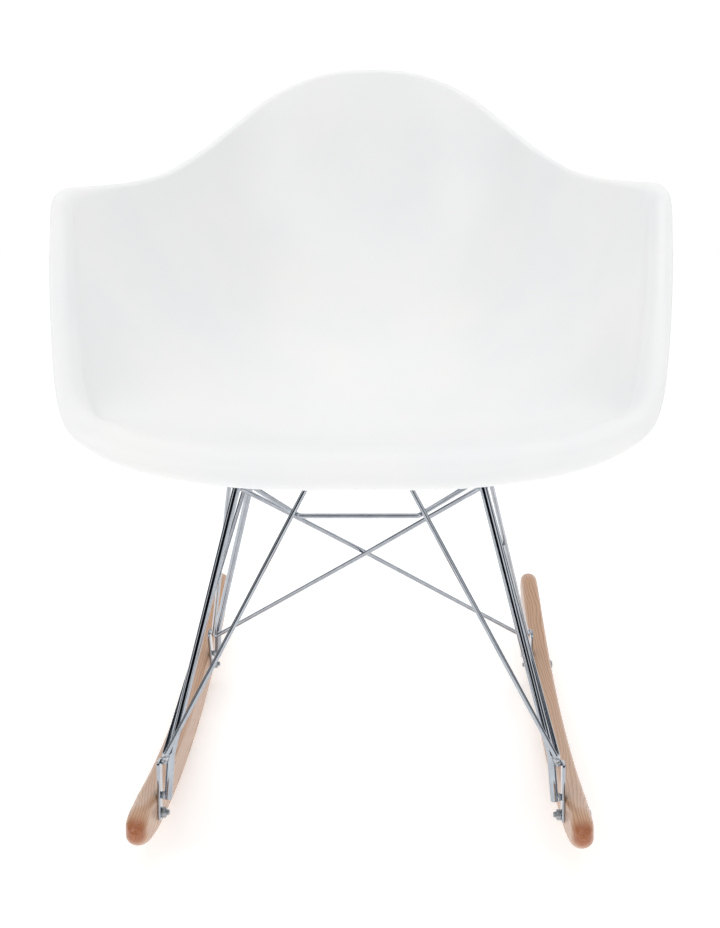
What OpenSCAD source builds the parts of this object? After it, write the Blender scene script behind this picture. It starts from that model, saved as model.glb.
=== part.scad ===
// Rocking armchair: a moulded plastic tub seat on a welded wire base, bolted to two wooden runners.
// The chair faces -Y. The origin is on the floor, midway between the runners and midway along them.

/* [Runners] */
// Length of each runner, from tip to tip
runner_l = 690; // [600:5:760]
// Distance between the runners, centre to centre
runner_gap = 428; // [380:2:480]
// Width of a runner
runner_w = 22; // [18:1:28]
// Height of a runner's section
runner_h = 40; // [32:1:50]
// Radius of the curve that the chair rocks on
rocker_r = 1400; // [1000:10:2000]
// Radius that rounds a runner's long edges
runner_edge_r = 6; // [2:0.5:8]

/* [Wire base] */
// Diameter of the legs and top rails
leg_d = 8; // [7:0.5:12]
// Diameter of the braces and the spreader
brace_d = 5; // [4:0.5:7]
// How far the front feet stand in front of the middle
front_foot_y = 272; // [230:1:290]
// How far the rear feet stand behind the middle
rear_foot_y = 133; // [110:1:200]
// How far the top rails' centres lie above the seat lip's lower edge, at the front seat mounts
front_rail_rise = 2; // [-10:1:6]
// How far the top rails' centres lie below the seat lip's lower edge, at the rear seat mounts
rear_rail_drop = 20; // [16:1:40]
// Distance between the two top rails, centre to centre
rail_gap = 234; // [200:2:280]
// How far the front mounts stand in front of the middle
front_mount_y = 183; // [150:1:210]
// How far the rear mounts stand behind the middle
rear_mount_y = 20; // [0:1:80]
// Radius of the legs' top bends, to the rod's centre line
leg_bend_r = 20; // [14:1:40]
// Length of the straight spreader bar
spreader_l = 116; // [80:2:160]
// Drop of the spreader bar below the front rail height
spreader_drop = 39; // [25:1:60]
// Length of the bar that joins the front braces under the seat
arch_l = 96; // [70:2:140]

/* [Feet] */
// Thickness of the foot plates
plate_t = 3; // [2:0.5:5]
// Width of the foot plates
plate_w = 16; // [14:1:22]
// Height of a leg's first bend above its bolt
foot_rise = 60; // [50:1:80]
// Diameter of the runner bolts
bolt_d = 6; // [5:1:8]
// Distance across the flats of the bolts' nuts
nut_af = 10; // [8:1:13]
// Thickness of the bolts' nuts
nut_h = 5; // [4:0.5:6.5]
// Outer diameter of the washers under the bolt heads
washer_d = 16; // [12:1:20]
// Thickness of the washers
washer_t = 1.5; // [1:0.25:2.5]

/* [Seat mounts] */
// Thickness of the mount tabs
tab_t = 3; // [2:0.5:5]
// Width of the mount tabs
tab_w = 26; // [20:1:34]
// Distance from a rail's centre line in to its seat screws
tab_reach = 17; // [14:1:26]
// Diameter of the seat screws
screw_d = 6; // [5:1:8]
// Diameter of the rubber rings between tabs and seat
ring_d = 26; // [20:1:32]
// Thickness of the rubber rings
ring_t = 4; // [2:0.5:8]
// Diameter of the bosses moulded under the seat
boss_d = 28; // [22:1:34]
// Outer diameter of the threaded inserts
insert_d = 10; // [8:0.5:12]
// Length of the threaded inserts
insert_l = 8; // [6:0.5:9]

/* [Shell] */
// Overall width of the seat shell
shell_w = 617; // [540:1:700]
// Depth of the seat shell, front lip to top of the back
shell_l = 591; // [500:1:680]
// How far the front lip stands in front of the middle
lip_y = 263; // [230:1:300]
// Height of the front lip's lower edge above the floor
lip_z = 382; // [340:1:460]
// Height of the arms above the lip's lower edge
arm_rise = 263; // [200:1:300]
// Height of the back above the arms
back_rise = 106; // [70:1:160]
// Thickness of the shell's wall
wall = 4.5; // [3:0.5:6]
// Radius of the rolled edge at the front lip
lip_r = 31; // [26:1:38]
// Radius of the rolled edge along the back
rim_r = 8; // [7:0.5:12]
// Height of the middle of the seat above the lip's lower edge
pan_rise = 2; // [-6:1:10]
// How far the middle of the seat's pan stands behind the middle
pan_y = 25; // [0:1:50]

/* [Hidden] */

// Clearance between rods that are welded side by side
weld_gap = 0.1;
// Clearance of a bolt or screw in its hole, on the radius
hole_gap = 0.25;
// Gap between a leg's foot and its plate, which the welds bridge
slot_gap = 1.7;
$fn = 48;

front_rail_z = lip_z + front_rail_rise;
rear_rail_z = lip_z - rear_rail_drop;
leg_r = leg_d / 2;
brace_r = brace_d / 2;
// Distance between the centre lines of a leg and a brace that touch, and of two braces
touch = leg_r + brace_r + weld_gap;
// The arms slope, so they pass further apart in Y than square to each other
cross_spread = 1.47;
brace_touch = (brace_d + weld_gap) * cross_spread;

// Height of the runner's underside at a place along it
function runner_z(y) = rocker_r - sqrt(rocker_r * rocker_r - y * y);

// ---- Vectors ----
function unit(v) = v / norm(v);
function mix(a, b, t) = a + (b - a) * t;
function flip(p) = [-p.x, p.y, p.z];

// ---- Points of the right side of the wire base ----
inner_x = runner_gap / 2 - runner_w / 2;
plate_x = inner_x - plate_t;
foot_x = plate_x - slot_gap - leg_r;
front_bolt = [inner_x, -front_foot_y, runner_z(front_foot_y) + runner_h / 2];
rear_bolt = [inner_x, rear_foot_y, runner_z(rear_foot_y) + runner_h / 2];
// How far a foot's first bend stands nearer the middle than its bolt, and further in
foot_lean_front = 11;
foot_lean_rear = 22;
foot_lean_in = 5;
// Clear height of a leg's end above its bolt
foot_lift = 13;

// Radius of the bend at a foot, of the braces' sharp bends, and of the arch's and spreader's bends
foot_bend_r = 14;
vee_r = 4;
arch_r = 9;
// Length of a foot plate above its bolt
plate_l = foot_rise - 6;
// Height above the boss feet in which the wall is found
boss_room = 45;
// Bends are a hair thicker than the rods, whose ends lap into them
bend_swell = 0.05;
bend_lap = 0.3;
// Bend of the cross braces where they pass each other
pass_bend_r = 60;

function foot_bend(bolt, lean) = [foot_x - foot_lean_in, bolt.y + lean, bolt.z + foot_rise];
function foot_end(bolt, bend) = mix([foot_x, bolt.y, bolt.z], bend, foot_lift / foot_rise);
front_bend = foot_bend(front_bolt, foot_lean_front);
rear_bend = foot_bend(rear_bolt, -foot_lean_rear);
front_end = foot_end(front_bolt, front_bend);
rear_end = foot_end(rear_bolt, rear_bend);
front_top = [rail_gap / 2, -front_mount_y, front_rail_z];
rear_top = [rail_gap / 2, rear_mount_y, rear_rail_z];
front_leg_dir = unit(front_top - front_bend);
rear_leg_dir = unit(rear_top - rear_bend);
rail_dir = unit(rear_top - front_top);
// The rail rises forwards, so the rear tabs sit higher than the rail's corner, clear of its slope
rail_slope = (front_rail_z - rear_rail_z) / (front_mount_y + rear_mount_y);
rear_mount = rear_top + [0, 0, max(0, rail_slope) * tab_w / 2 + weld_gap];

// A place on a leg's centre line at a height
function on_front_leg(z) = front_bend + front_leg_dir * (z - front_bend.z) / front_leg_dir.z;
function on_rear_leg(z) = rear_bend + rear_leg_dir * (z - rear_bend.z) / rear_leg_dir.z;

// The braces' lowest points, outside the legs, so that neither brace runs through a leg
front_vee = front_bend + [touch + 2.1, -touch - 0.6, -7];
rear_vee = rear_bend + [touch + 1.1, 1.5, -16];
// The front side brace ends at the front face of the rear leg, and the rear side brace at the outer face
// of the front leg, so that the two pass each other halfway
side_brace_drop = 11;
front_side_top = on_rear_leg(rear_rail_z - side_brace_drop) + [touch / 4, -touch - 0.5, 0];
rear_side_top = on_front_leg(front_rail_z - side_brace_drop - 4) + [touch + 2, 0, 0];
// The inner braces rise to the arch bar, and the spreader's bends lie just in front of them
arch_end = [arch_l / 2, -front_mount_y - 40, front_rail_z - 6];
spreader_end = [spreader_l / 2, -front_mount_y - 43, front_rail_z - spreader_drop];
spreader_top = on_front_leg(front_rail_z - 16) + [-touch - 0.5, -1, 0];
// The cross braces pass each other at the middle, one in front of the other
cross_top = on_front_leg(front_rail_z - 24) + [-3, touch + 1, 0];

// ---- Shell outline ----
// The right half of the rim, from the middle of the front lip round to the middle of the back. Each row:
// [across, as a share of the half width; along, as a share of the depth from the lip;
//  arm rise; back rise; edge radius, from the back's to the lip's; fullness of the seat's wall
//  there, as a share of the half width; way the edge rolls, from across the front to level]
RIM = [
    [0.000, 0.000, 0.000, 0.000, 1.00, 0.84, 0.0],
    [0.324, 0.002, 0.005, 0.000, 1.00, 0.84, 0.0],
    [0.616, 0.015, 0.042, 0.000, 0.96, 0.84, 0.0],
    [0.830, 0.041, 0.120, 0.000, 0.87, 0.84, 0.0],
    [0.940, 0.086, 0.236, 0.000, 0.80, 0.84, 0.0],
    [0.983, 0.157, 0.476, 0.000, 0.73, 0.84, 0.0],
    [0.996, 0.196, 0.645, 0.000, 0.66, 0.87, 0.0],
    [1.000, 0.240, 0.900, 0.000, 0.56, 0.97, 0.1],
    [0.990, 0.276, 1.000, 0.000, 0.38, 1.23, 0.6],
    [0.960, 0.375, 1.000, 0.000, 0.20, 1.52, 1.0],
    [0.911, 0.496, 0.980, 0.000, 0.08, 1.69, 1.0],
    [0.850, 0.606, 0.972, 0.000, 0.04, 1.75, 1.0],
    [0.781, 0.699, 0.982, 0.000, 0.00, 1.82, 1.0],
    [0.712, 0.775, 1.000, 0.050, 0.00, 1.95, 1.0],
    [0.623, 0.851, 1.000, 0.225, 0.00, 2.07, 1.0],
    [0.524, 0.905, 1.000, 0.450, 0.00, 2.20, 1.0],
    [0.389, 0.956, 1.000, 0.730, 0.00, 2.27, 1.0],
    [0.207, 0.990, 1.000, 0.940, 0.00, 2.30, 1.0],
    [0.000, 1.000, 1.000, 1.000, 0.00, 2.30, 1.0]];
half = len(RIM) - 1;
// Steps round the shell, from the pan to the rim, and round the rolled edge
around = 72;
seat_steps = 12;
roll_steps = 5;
rows = seat_steps + roll_steps;
// Lean of the back at its top edge, as run over rise
back_lean = 0.22;

// A row of the outline, mirrored for the left half
function rim_row(i) =
    let (k = (i % (2 * half) + 2 * half) % (2 * half), r = k <= half ? RIM[k] : RIM[2 * half - k])
    concat(r[0] * (k <= half ? 1 : -1), [for (c = [1 : 6]) r[c]]);
// A smooth curve through the rows, at a place round the rim
function rim_at(j) =
    let (i = floor(j), t = j - i,
        a = rim_row(i - 1), b = rim_row(i), c = rim_row(i + 1), d = rim_row(i + 2))
    b + 0.5 * t * ((c - a) + t * ((2 * a - 5 * b + 4 * c - d) + t * (3 * (b - c) + d - a)));
// A place on the rim's outer edge
function edge_point(q) = [
    q[0] * shell_w / 2, -lip_y + q[1] * shell_l, lip_z + q[2] * arm_rise + q[3] * back_rise];

// The rim at a place: outer edge, crest of the rolled edge, and the seat's arrival there
rim_look = 0.35;
function rim_frame(j) =
    let (q = rim_at(j),
        run = unit(edge_point(rim_at(j + rim_look)) - edge_point(rim_at(j - rim_look))),
        face = mix([run.z, 0, -run.x], [run.y, -run.x, -back_lean * abs(run.x)], q[6]),
        up = unit(cross(face, run)), r = mix(rim_r, lip_r, q[4]))
    [edge_point(q), edge_point(q) - r * (up + cross(run, up)), q[5] * shell_w / 2 * up, r];

// The seat is the smooth sheet through the crest that arrives there in the given directions. It is
// written as a series of waves round the shell, which die away towards the pan. Places across the
// shell take sines and the others cosines, so both halves are alike.
modes = 24;
samples = 8 * half;
function sines(a) = [for (m = [0 : modes]) sin(m * a)];
function cosines(a) = [for (m = [0 : modes]) cos(m * a)];
rim_frames = [for (i = [0 : samples - 1]) rim_frame(2 * half * i / samples)];
function series(values, waves) =
    [for (m = [0 : modes]) (m == 0 ? 1 : 2) / samples * (values * [for (w = waves) w[m]])];
function rim_series(item, axis) =
    series([for (f = rim_frames) f[item][axis]],
        [for (i = [0 : samples - 1]) axis == 0 ? sines(360 * i / samples) : cosines(360 * i / samples)]);
edge_s = [for (c = [0 : 2]) rim_series(0, c)];
crest_s = [for (c = [0 : 2]) rim_series(1, c)];
arrive_s = [for (c = [0 : 2]) rim_series(2, c)];
bow_s = [for (c = [0 : 2]) [for (m = [0 : modes]) (m * crest_s[c][m] - arrive_s[c][m]) / 2]];
roll_s = series([for (f = rim_frames) f[3]], [for (i = [0 : samples - 1]) cosines(360 * i / samples)]);
pan = [0, pan_y, lip_z + pan_rise];
pan_shift = pan - [0, crest_s[1][0] + bow_s[1][0], crest_s[2][0] + bow_s[2][0]];

// The value of three series at an angle round the shell
function sum_at(s, a) = [s[0] * sines(a), s[1] * cosines(a), s[2] * cosines(a)];
// The series of a ring, as a share of the way out from the pan
function ring_series(t) =
    [for (c = [0 : 2]) [for (m = [0 : modes])
        pow(t, m) * (crest_s[c][m] + (1 - t * t) * bow_s[c][m]) + (m == 0 ? pow(1 - t * t, 2) * pan_shift[c] : 0)]];

// ---- Rods ----
// Turns and moves its children so that +Z lies along a direction, and +X towards a side
module aim(p, dir, side) {
    z = unit(dir);
    y = unit(cross(z, side));
    x = cross(y, z);
    multmatrix([[x.x, y.x, z.x, p.x], [x.y, y.y, z.y, p.y], [x.z, y.z, z.z, p.z], [0, 0, 0, 1]])
        children();
}

// A straight rod between two points
module rod(a, b, d) {
    aim(a, b - a, abs(unit(b - a).x) < 0.9 ? [1, 0, 0] : [0, 1, 0])
        cylinder(d = d, h = norm(b - a));
}

// How far a bend's arc starts from its corner
function bend_cut(a, b, c, r) = r * tan(acos(unit(b - a) * unit(c - b)) / 2);

// The same for a rod whose end laps into the bend
function lap_cut(a, b, c, r) = bend_cut(a, b, c, r) - bend_lap;

// The bent part of a rod at corner b, between a and c
module bend(a, b, c, r, d) {
    u = unit(b - a);
    w = unit(c - b);
    turn = acos(u * w);
    start = b - u * bend_cut(a, b, c, r);
    inward = unit(w - u * (u * w));
    n = cross(u, inward);
    centre = start + inward * r;
    aim(centre, n, -inward)
        rotate_extrude(angle = turn)
            translate([r, 0])
                circle(d = d + 2 * bend_swell);
}

// ---- Seat ----
shell_angles = [for (j = [0 : around - 1]) 360 * j / around];
arrivals = [for (a = shell_angles) unit(sum_at(arrive_s, a))];
crests = [for (a = shell_angles) sum_at(crest_s, a)];
// The upper face, as rings from the pan outward
seat_rings = [for (k = [1 : seat_steps]) let (s = ring_series(k / seat_steps)) [for (a = shell_angles) sum_at(s, a)]];
roll_rings = [for (k = [1 : roll_steps]) let (turn = 90 * k / roll_steps)
    [for (j = [0 : around - 1])
        let (lift = roll_s * cosines(shell_angles[j]) * arrivals[j],
            reach = sum_at(edge_s, shell_angles[j]) - crests[j] - lift)
        crests[j] + sin(turn) * lift + (1 - cos(turn)) * reach]];
upper = concat(seat_rings, roll_rings);
// Directions square to the upper face, and the lower face one wall's thickness below
function ring_normal(k, j) =
    let (r = upper[k][(j + 1) % around], l = upper[k][(j + around - 1) % around],
        a = k == 0 ? pan : upper[k - 1][j])
    k == rows - 1 ? arrivals[j] : unit(cross(upper[k + 1][j] - a, r - l));
lower = [for (k = [0 : rows - 1]) [for (j = [0 : around - 1]) upper[k][j] - wall * ring_normal(k, j)]];
lower_pan = pan - [0, 0, wall];

module shell_skin() {
    points = concat([pan, lower_pan], [for (ring = upper) each ring], [for (ring = lower) each ring]);
    n = around * rows;
    function up_i(j, k) = 2 + (j % around) + k * around;
    function low_i(j, k) = up_i(j, k) + n;
    faces = concat(
        [for (j = [0 : around - 1]) [0, up_i(j + 1, 0), up_i(j, 0)]],
        [for (j = [0 : around - 1]) [1, low_i(j, 0), low_i(j + 1, 0)]],
        [for (j = [0 : around - 1]) for (k = [0 : rows - 2]) each [
            [up_i(j, k), up_i(j + 1, k + 1), up_i(j, k + 1)],
            [up_i(j, k), up_i(j + 1, k), up_i(j + 1, k + 1)],
            [low_i(j, k), low_i(j, k + 1), low_i(j + 1, k + 1)],
            [low_i(j, k), low_i(j + 1, k + 1), low_i(j + 1, k)]]],
        [for (j = [0 : around - 1]) each [
            [up_i(j, rows - 1), low_i(j + 1, rows - 1), low_i(j, rows - 1)],
            [up_i(j, rows - 1), up_i(j + 1, rows - 1), low_i(j + 1, rows - 1)]]]);
    polyhedron(points, faces, convexity = 6);
}

// The room above the middle of the seat's wall, which cuts the tops of the bosses
module above_wall() {
    last = seat_steps - 2;
    top_z = lip_z + arm_rise + back_rise + 10;
    mid = [for (k = [0 : last]) mix(upper[k], lower[k], 0.5)];
    points = concat([mix(pan, lower_pan, 0.5), [pan.x, pan.y, top_z]],
        [for (ring = mid) each ring], [for (p = mid[last]) [p.x, p.y, top_z]]);
    function at(j, k) = 2 + (j % around) + k * around;
    faces = concat(
        [for (j = [0 : around - 1]) each [[0, at(j, 0), at(j + 1, 0)], [1, at(j + 1, last + 1), at(j, last + 1)]]],
        [for (j = [0 : around - 1]) for (k = [0 : last]) each [
            [at(j, k), at(j, k + 1), at(j + 1, k + 1)],
            [at(j, k), at(j + 1, k + 1), at(j + 1, k)]]]);
    polyhedron(points, faces, convexity = 6);
}

// The foot of each boss on the right side, on top of its rubber ring
seat_mounts = [for (m = [front_top, rear_mount]) [m.x - tab_reach, m.y, m.z + leg_r + tab_t + ring_t]];

module each_seat_mount() {
    for (m = seat_mounts, s = [-1, 1])
        translate([s * m.x, m.y, m.z])
            children();
}

// The bosses moulded under the seat, up into the middle of its wall
module bosses() {
    difference() {
        each_seat_mount()
            cylinder(d = boss_d, h = boss_room);
        above_wall();
    }
}

module seat_shell() {
    color("whitesmoke")
        difference() {
            union() {
                shell_skin();
                bosses();
            }
            each_seat_mount()
                translate([0, 0, -1])
                    cylinder(d = insert_d, h = insert_l + 2);
        }
}

module shell_inserts() {
    color("goldenrod")
        each_seat_mount()
            difference() {
                cylinder(d = insert_d, h = insert_l);
                translate([0, 0, -1])
                    cylinder(d = screw_d, h = insert_l + 2);
            }
}

module rubber_rings() {
    color("dimgray")
        each_seat_mount()
            translate([0, 0, -ring_t])
                difference() {
                    cylinder(d = ring_d, h = ring_t);
                    translate([0, 0, -1])
                        cylinder(d = screw_d + 2 * hole_gap, h = ring_t + 2);
                }
}

// Screws with domed heads, up through the tabs and rings into the inserts
module seat_screws() {
    head_h = screw_d * 0.55;
    color("silver")
        each_seat_mount()
            translate([0, 0, -ring_t - tab_t]) {
                cylinder(d = screw_d, h = ring_t + tab_t + insert_l - 1);
                translate([0, 0, -head_h])
                    difference() {
                        cylinder(d1 = screw_d * 1.5, d2 = screw_d * 2, h = head_h);
                        translate([0, 0, -1])
                            cylinder(d = screw_d * 0.75, h = head_h * 0.6 + 1, $fn = 6);
                    }
            }
}

// A tab that lies on a rail and reaches in under a boss
module mount_tab(m) {
    color("silver")
        difference() {
            translate([m.x - tab_reach, m.y, m.z + leg_r])
                union() {
                    cylinder(d = tab_w, h = tab_t);
                    translate([0, -tab_w / 2, 0])
                        cube([tab_reach + leg_r, tab_w, tab_t]);
                }
            translate([m.x - tab_reach, m.y, m.z])
                cylinder(d = screw_d + 2 * hole_gap, h = leg_r + tab_t + 5);
        }
}

// ---- Wire base, right side ----
module front_leg() {
    color("silver") {
        cut_low = lap_cut(front_end, front_bend, front_top, foot_bend_r);
        cut_top = lap_cut(front_bend, front_top, rear_top, leg_bend_r);
        low_dir = unit(front_bend - front_end);
        rod(front_end, front_bend - low_dir * cut_low, leg_d);
        bend(front_end, front_bend, front_top, foot_bend_r, leg_d);
        rod(front_bend + front_leg_dir * cut_low, front_top - front_leg_dir * cut_top, leg_d);
        bend(front_bend, front_top, rear_top, leg_bend_r, leg_d);
    }
}

module rear_leg() {
    color("silver") {
        cut_low = lap_cut(rear_end, rear_bend, rear_top, foot_bend_r);
        cut_top = lap_cut(rear_bend, rear_top, front_top, leg_bend_r);
        low_dir = unit(rear_bend - rear_end);
        rod(rear_end, rear_bend - low_dir * cut_low, leg_d);
        bend(rear_end, rear_bend, rear_top, foot_bend_r, leg_d);
        rod(rear_bend + rear_leg_dir * cut_low, rear_top - rear_leg_dir * cut_top, leg_d);
        bend(rear_bend, rear_top, front_top, leg_bend_r, leg_d);
    }
}

module top_rail() {
    color("silver")
        rod(front_top + rail_dir * bend_cut(front_bend, front_top, rear_top, leg_bend_r),
            rear_top - rail_dir * bend_cut(rear_bend, rear_top, front_top, leg_bend_r), leg_d);
}

// The front brace is one wire with a sharp bend at the foot: this arm rises to the rear leg's top
module front_side_brace() {
    color("silver") {
        cut = lap_cut(front_side_top, front_vee, arch_end, vee_r);
        rod(front_side_top, front_vee + unit(front_side_top - front_vee) * cut, brace_d);
        bend(front_side_top, front_vee, arch_end, vee_r, brace_d);
    }
}

// and this arm rises inward to the arch bar under the seat
module front_inner_brace() {
    color("silver") {
        cut = bend_cut(front_side_top, front_vee, arch_end, vee_r);
        top_cut = lap_cut(front_vee, arch_end, flip(arch_end), arch_r);
        up = unit(arch_end - front_vee);
        rod(front_vee + up * cut, arch_end - up * top_cut, brace_d);
        bend(front_vee, arch_end, flip(arch_end), arch_r, brace_d);
    }
}

module front_arch_bar() {
    color("silver") {
        x = arch_end.x - bend_cut(front_vee, arch_end, flip(arch_end), arch_r);
        translate([-x, arch_end.y, arch_end.z])
            rotate([0, 90, 0])
                cylinder(d = brace_d, h = 2 * x);
    }
}

// The rear brace likewise: this arm rises forward to the front leg's top
module rear_side_brace() {
    color("silver") {
        cut = lap_cut(rear_side_top, rear_vee, flip(cross_top), vee_r);
        rod(rear_side_top, rear_vee + unit(rear_side_top - rear_vee) * cut, brace_d);
        bend(rear_side_top, rear_vee, flip(cross_top), vee_r, brace_d);
    }
}

// and this arm crosses to the other side's front leg. shift moves the middle forward or back
module rear_cross_brace(shift) {
    color("silver") {
        far = flip(cross_top);
        cut = bend_cut(rear_side_top, rear_vee, far, vee_r);
        start = rear_vee + unit(far - rear_vee) * cut;
        mid = mix(rear_vee, far, rear_vee.x / (rear_vee.x + cross_top.x)) + [0, shift, 0];
        pass_cut = lap_cut(start, mid, far, pass_bend_r);
        rod(start, mid - unit(mid - start) * pass_cut, brace_d);
        bend(start, mid, far, pass_bend_r, brace_d);
        rod(mid + unit(far - mid) * pass_cut, far, brace_d);
    }
}

module spreader_bar() {
    color("silver") {
        x = spreader_end.x - bend_cut(spreader_top, spreader_end, flip(spreader_end), arch_r);
        translate([-x, spreader_end.y, spreader_end.z])
            rotate([0, 90, 0])
                cylinder(d = brace_d, h = 2 * x);
    }
}

module spreader_arm() {
    color("silver") {
        cut = lap_cut(spreader_top, spreader_end, flip(spreader_end), arch_r);
        rod(spreader_top, spreader_end + unit(spreader_top - spreader_end) * cut, brace_d);
        bend(spreader_top, spreader_end, flip(spreader_end), arch_r, brace_d);
    }
}

// ---- Feet ----
// A flat plate against the runner's inner face, from just below the bolt up to the leg's first bend
module foot_plate(bolt, bend_p) {
    tilt = atan((bend_p.y - bolt.y) / (bend_p.z - bolt.z));
    color("silver")
        translate([plate_x, bolt.y, bolt.z])
            rotate([-tilt, 0, 0])
                rotate([0, 90, 0])
                    difference() {
                        union() {
                            cylinder(d = plate_w, h = plate_t);
                            translate([-plate_l, -plate_w / 2, 0])
                                cube([plate_l, plate_w, plate_t]);
                        }
                        translate([0, 0, -1])
                            cylinder(d = bolt_d + 2 * hole_gap, h = plate_t + 2);
                    }
}

module at_bolts() {
    for (b = [front_bolt, rear_bolt], s = [0, 1])
        mirror([s, 0, 0])
            translate(b)
                rotate([0, 90, 0])
                    children();
}

module runner_bolts() {
    head_h = bolt_d * 0.6;
    color("silver")
        at_bolts() {
            translate([0, 0, -plate_t - nut_h - 3])
                cylinder(d = bolt_d, h = runner_w + plate_t + nut_h + 3 + washer_t);
            translate([0, 0, runner_w + washer_t])
                difference() {
                    cylinder(d1 = bolt_d * 2, d2 = bolt_d * 1.5, h = head_h);
                    translate([0, 0, head_h * 0.4])
                        cylinder(d = bolt_d * 0.75, h = head_h, $fn = 6);
                }
        }
}

module runner_washers() {
    color("silver")
        at_bolts()
            translate([0, 0, runner_w])
                difference() {
                    cylinder(d = washer_d, h = washer_t);
                    translate([0, 0, -1])
                        cylinder(d = bolt_d + 2 * hole_gap, h = washer_t + 2);
                }
}

module runner_nuts() {
    color("silver")
        at_bolts()
            translate([0, 0, -plate_t - nut_h])
                difference() {
                    cylinder(d = nut_af / cos(30), h = nut_h, $fn = 6);
                    translate([0, 0, -1])
                        cylinder(d = bolt_d, h = nut_h + 2);
                }
}

// ---- Welds ----
// Short welds that bridge the slot between a leg's foot and its plate, at two heights
module foot_beads(low, high) {
    for (t = [0.12, 0.82])
        translate(mix(low, high, t))
            rotate([0, 90, 0])
                cylinder(d = leg_d * 0.6, h = plate_x - mix(low, high, t).x);
}

module foot_welds() {
    color("silver")
        for (s = [0, 1])
            mirror([s, 0, 0])
                difference() {
                    union() {
                        foot_beads(front_end, front_bend);
                        foot_beads(rear_end, rear_bend);
                    }
                    front_leg();
                    rear_leg();
                }
}

// ---- Runners ----
// A section with rounded edges, swept round the rocking curve
module runner_section() {
    r = runner_edge_r;
    union() {
        translate([r, 0])
            square([runner_h - 2 * r, runner_w]);
        translate([0, r])
            square([runner_h, runner_w - 2 * r]);
        for (x = [r, runner_h - r], y = [r, runner_w - r])
            translate([x, y])
                circle(r = r);
    }
}

module runner_bar() {
    sweep = 2 * tip_a + 2;
    translate([inner_x, 0, rocker_r])
        rotate([0, 90, 0])
            rotate([0, 0, -sweep / 2])
                rotate_extrude(angle = sweep, $fn = 360)
                    translate([rocker_r - runner_h, 0])
                        runner_section();
}

// The tips are rounded in side view and in plan, by radii a little over half the height and width
tip_r = runner_h / 2 + 1;
nose_r = runner_w / 2 + 1.5;
// How far the side view's rounding would reach past the plan's
tip_over = 0.8;
// Angle round the rocking curve from the middle to a tip
tip_a = asin((runner_l / 2 - 1) / (rocker_r - runner_h / 2));
// Length and height that are cut away beyond a tip
waste = 120;

module at_tips() {
    for (s = [0, 1])
        translate([inner_x, 0, rocker_r])
            mirror([0, s, 0])
                rotate([tip_a, 0, 0])
                    translate([0, 0, runner_h / 2 - rocker_r])
                        children();
}

module runner() {
    color("burlywood")
        difference() {
            runner_bar();
            at_tips()
                difference() {
                    translate([-2, tip_over - tip_r, -waste / 2])
                        cube([runner_w + 4, waste, waste]);
                    translate([-3, tip_over - tip_r, 0])
                        rotate([0, 90, 0])
                            cylinder(r = tip_r, h = runner_w + 6);
                }
            at_tips()
                difference() {
                    translate([-2, -nose_r, -waste / 2])
                        cube([runner_w + 4, waste, waste]);
                    translate([runner_w / 2, -nose_r, -waste / 2 - 1])
                        cylinder(r = nose_r, h = waste + 2);
                }
            for (b = [front_bolt, rear_bolt])
                translate(b - [1, 0, 0])
                    rotate([0, 90, 0])
                        cylinder(d = bolt_d + 2 * hole_gap, h = runner_w + 2);
        }
}

// ---- Assembly ----
seat_shell();
shell_inserts();
rubber_rings();
seat_screws();
mirror([1, 0, 0]) mount_tab(front_top);  // mount_tab_front_left
mount_tab(front_top);  // mount_tab_front_right
mirror([1, 0, 0]) mount_tab(rear_mount);  // mount_tab_rear_left
mount_tab(rear_mount);  // mount_tab_rear_right
mirror([1, 0, 0]) front_leg();  // front_leg_left
front_leg();  // front_leg_right
mirror([1, 0, 0]) rear_leg();  // rear_leg_left
rear_leg();  // rear_leg_right
mirror([1, 0, 0]) top_rail();  // top_rail_left
top_rail();  // top_rail_right
mirror([1, 0, 0]) front_side_brace();  // front_side_brace_left
front_side_brace();  // front_side_brace_right
mirror([1, 0, 0]) front_inner_brace();  // front_inner_brace_left
front_inner_brace();  // front_inner_brace_right
front_arch_bar();
mirror([1, 0, 0]) rear_side_brace();  // rear_side_brace_left
rear_side_brace();  // rear_side_brace_right
mirror([1, 0, 0]) rear_cross_brace(-brace_touch / 2);  // rear_cross_brace_left
rear_cross_brace(brace_touch / 2);  // rear_cross_brace_right
spreader_bar();
mirror([1, 0, 0]) spreader_arm();  // spreader_arm_left
spreader_arm();  // spreader_arm_right
mirror([1, 0, 0]) foot_plate(front_bolt, front_bend);  // foot_plate_front_left
foot_plate(front_bolt, front_bend);  // foot_plate_front_right
mirror([1, 0, 0]) foot_plate(rear_bolt, rear_bend);  // foot_plate_rear_left
foot_plate(rear_bolt, rear_bend);  // foot_plate_rear_right
foot_welds();
mirror([1, 0, 0]) runner();  // runner_left
runner();  // runner_right
runner_bolts();
runner_washers();
runner_nuts();
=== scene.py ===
"""Rocking armchair: the looks of a moulded plastic tub seat on a bright wire base with wooden runners.

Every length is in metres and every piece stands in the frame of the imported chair: +Z is up, the chair
faces -Y, and the origin is on the floor midway between the runners.
"""

import logging
import math
from dataclasses import dataclass
from enum import Enum

import bpy
import numpy as np
from mathutils import Matrix, Vector


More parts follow.
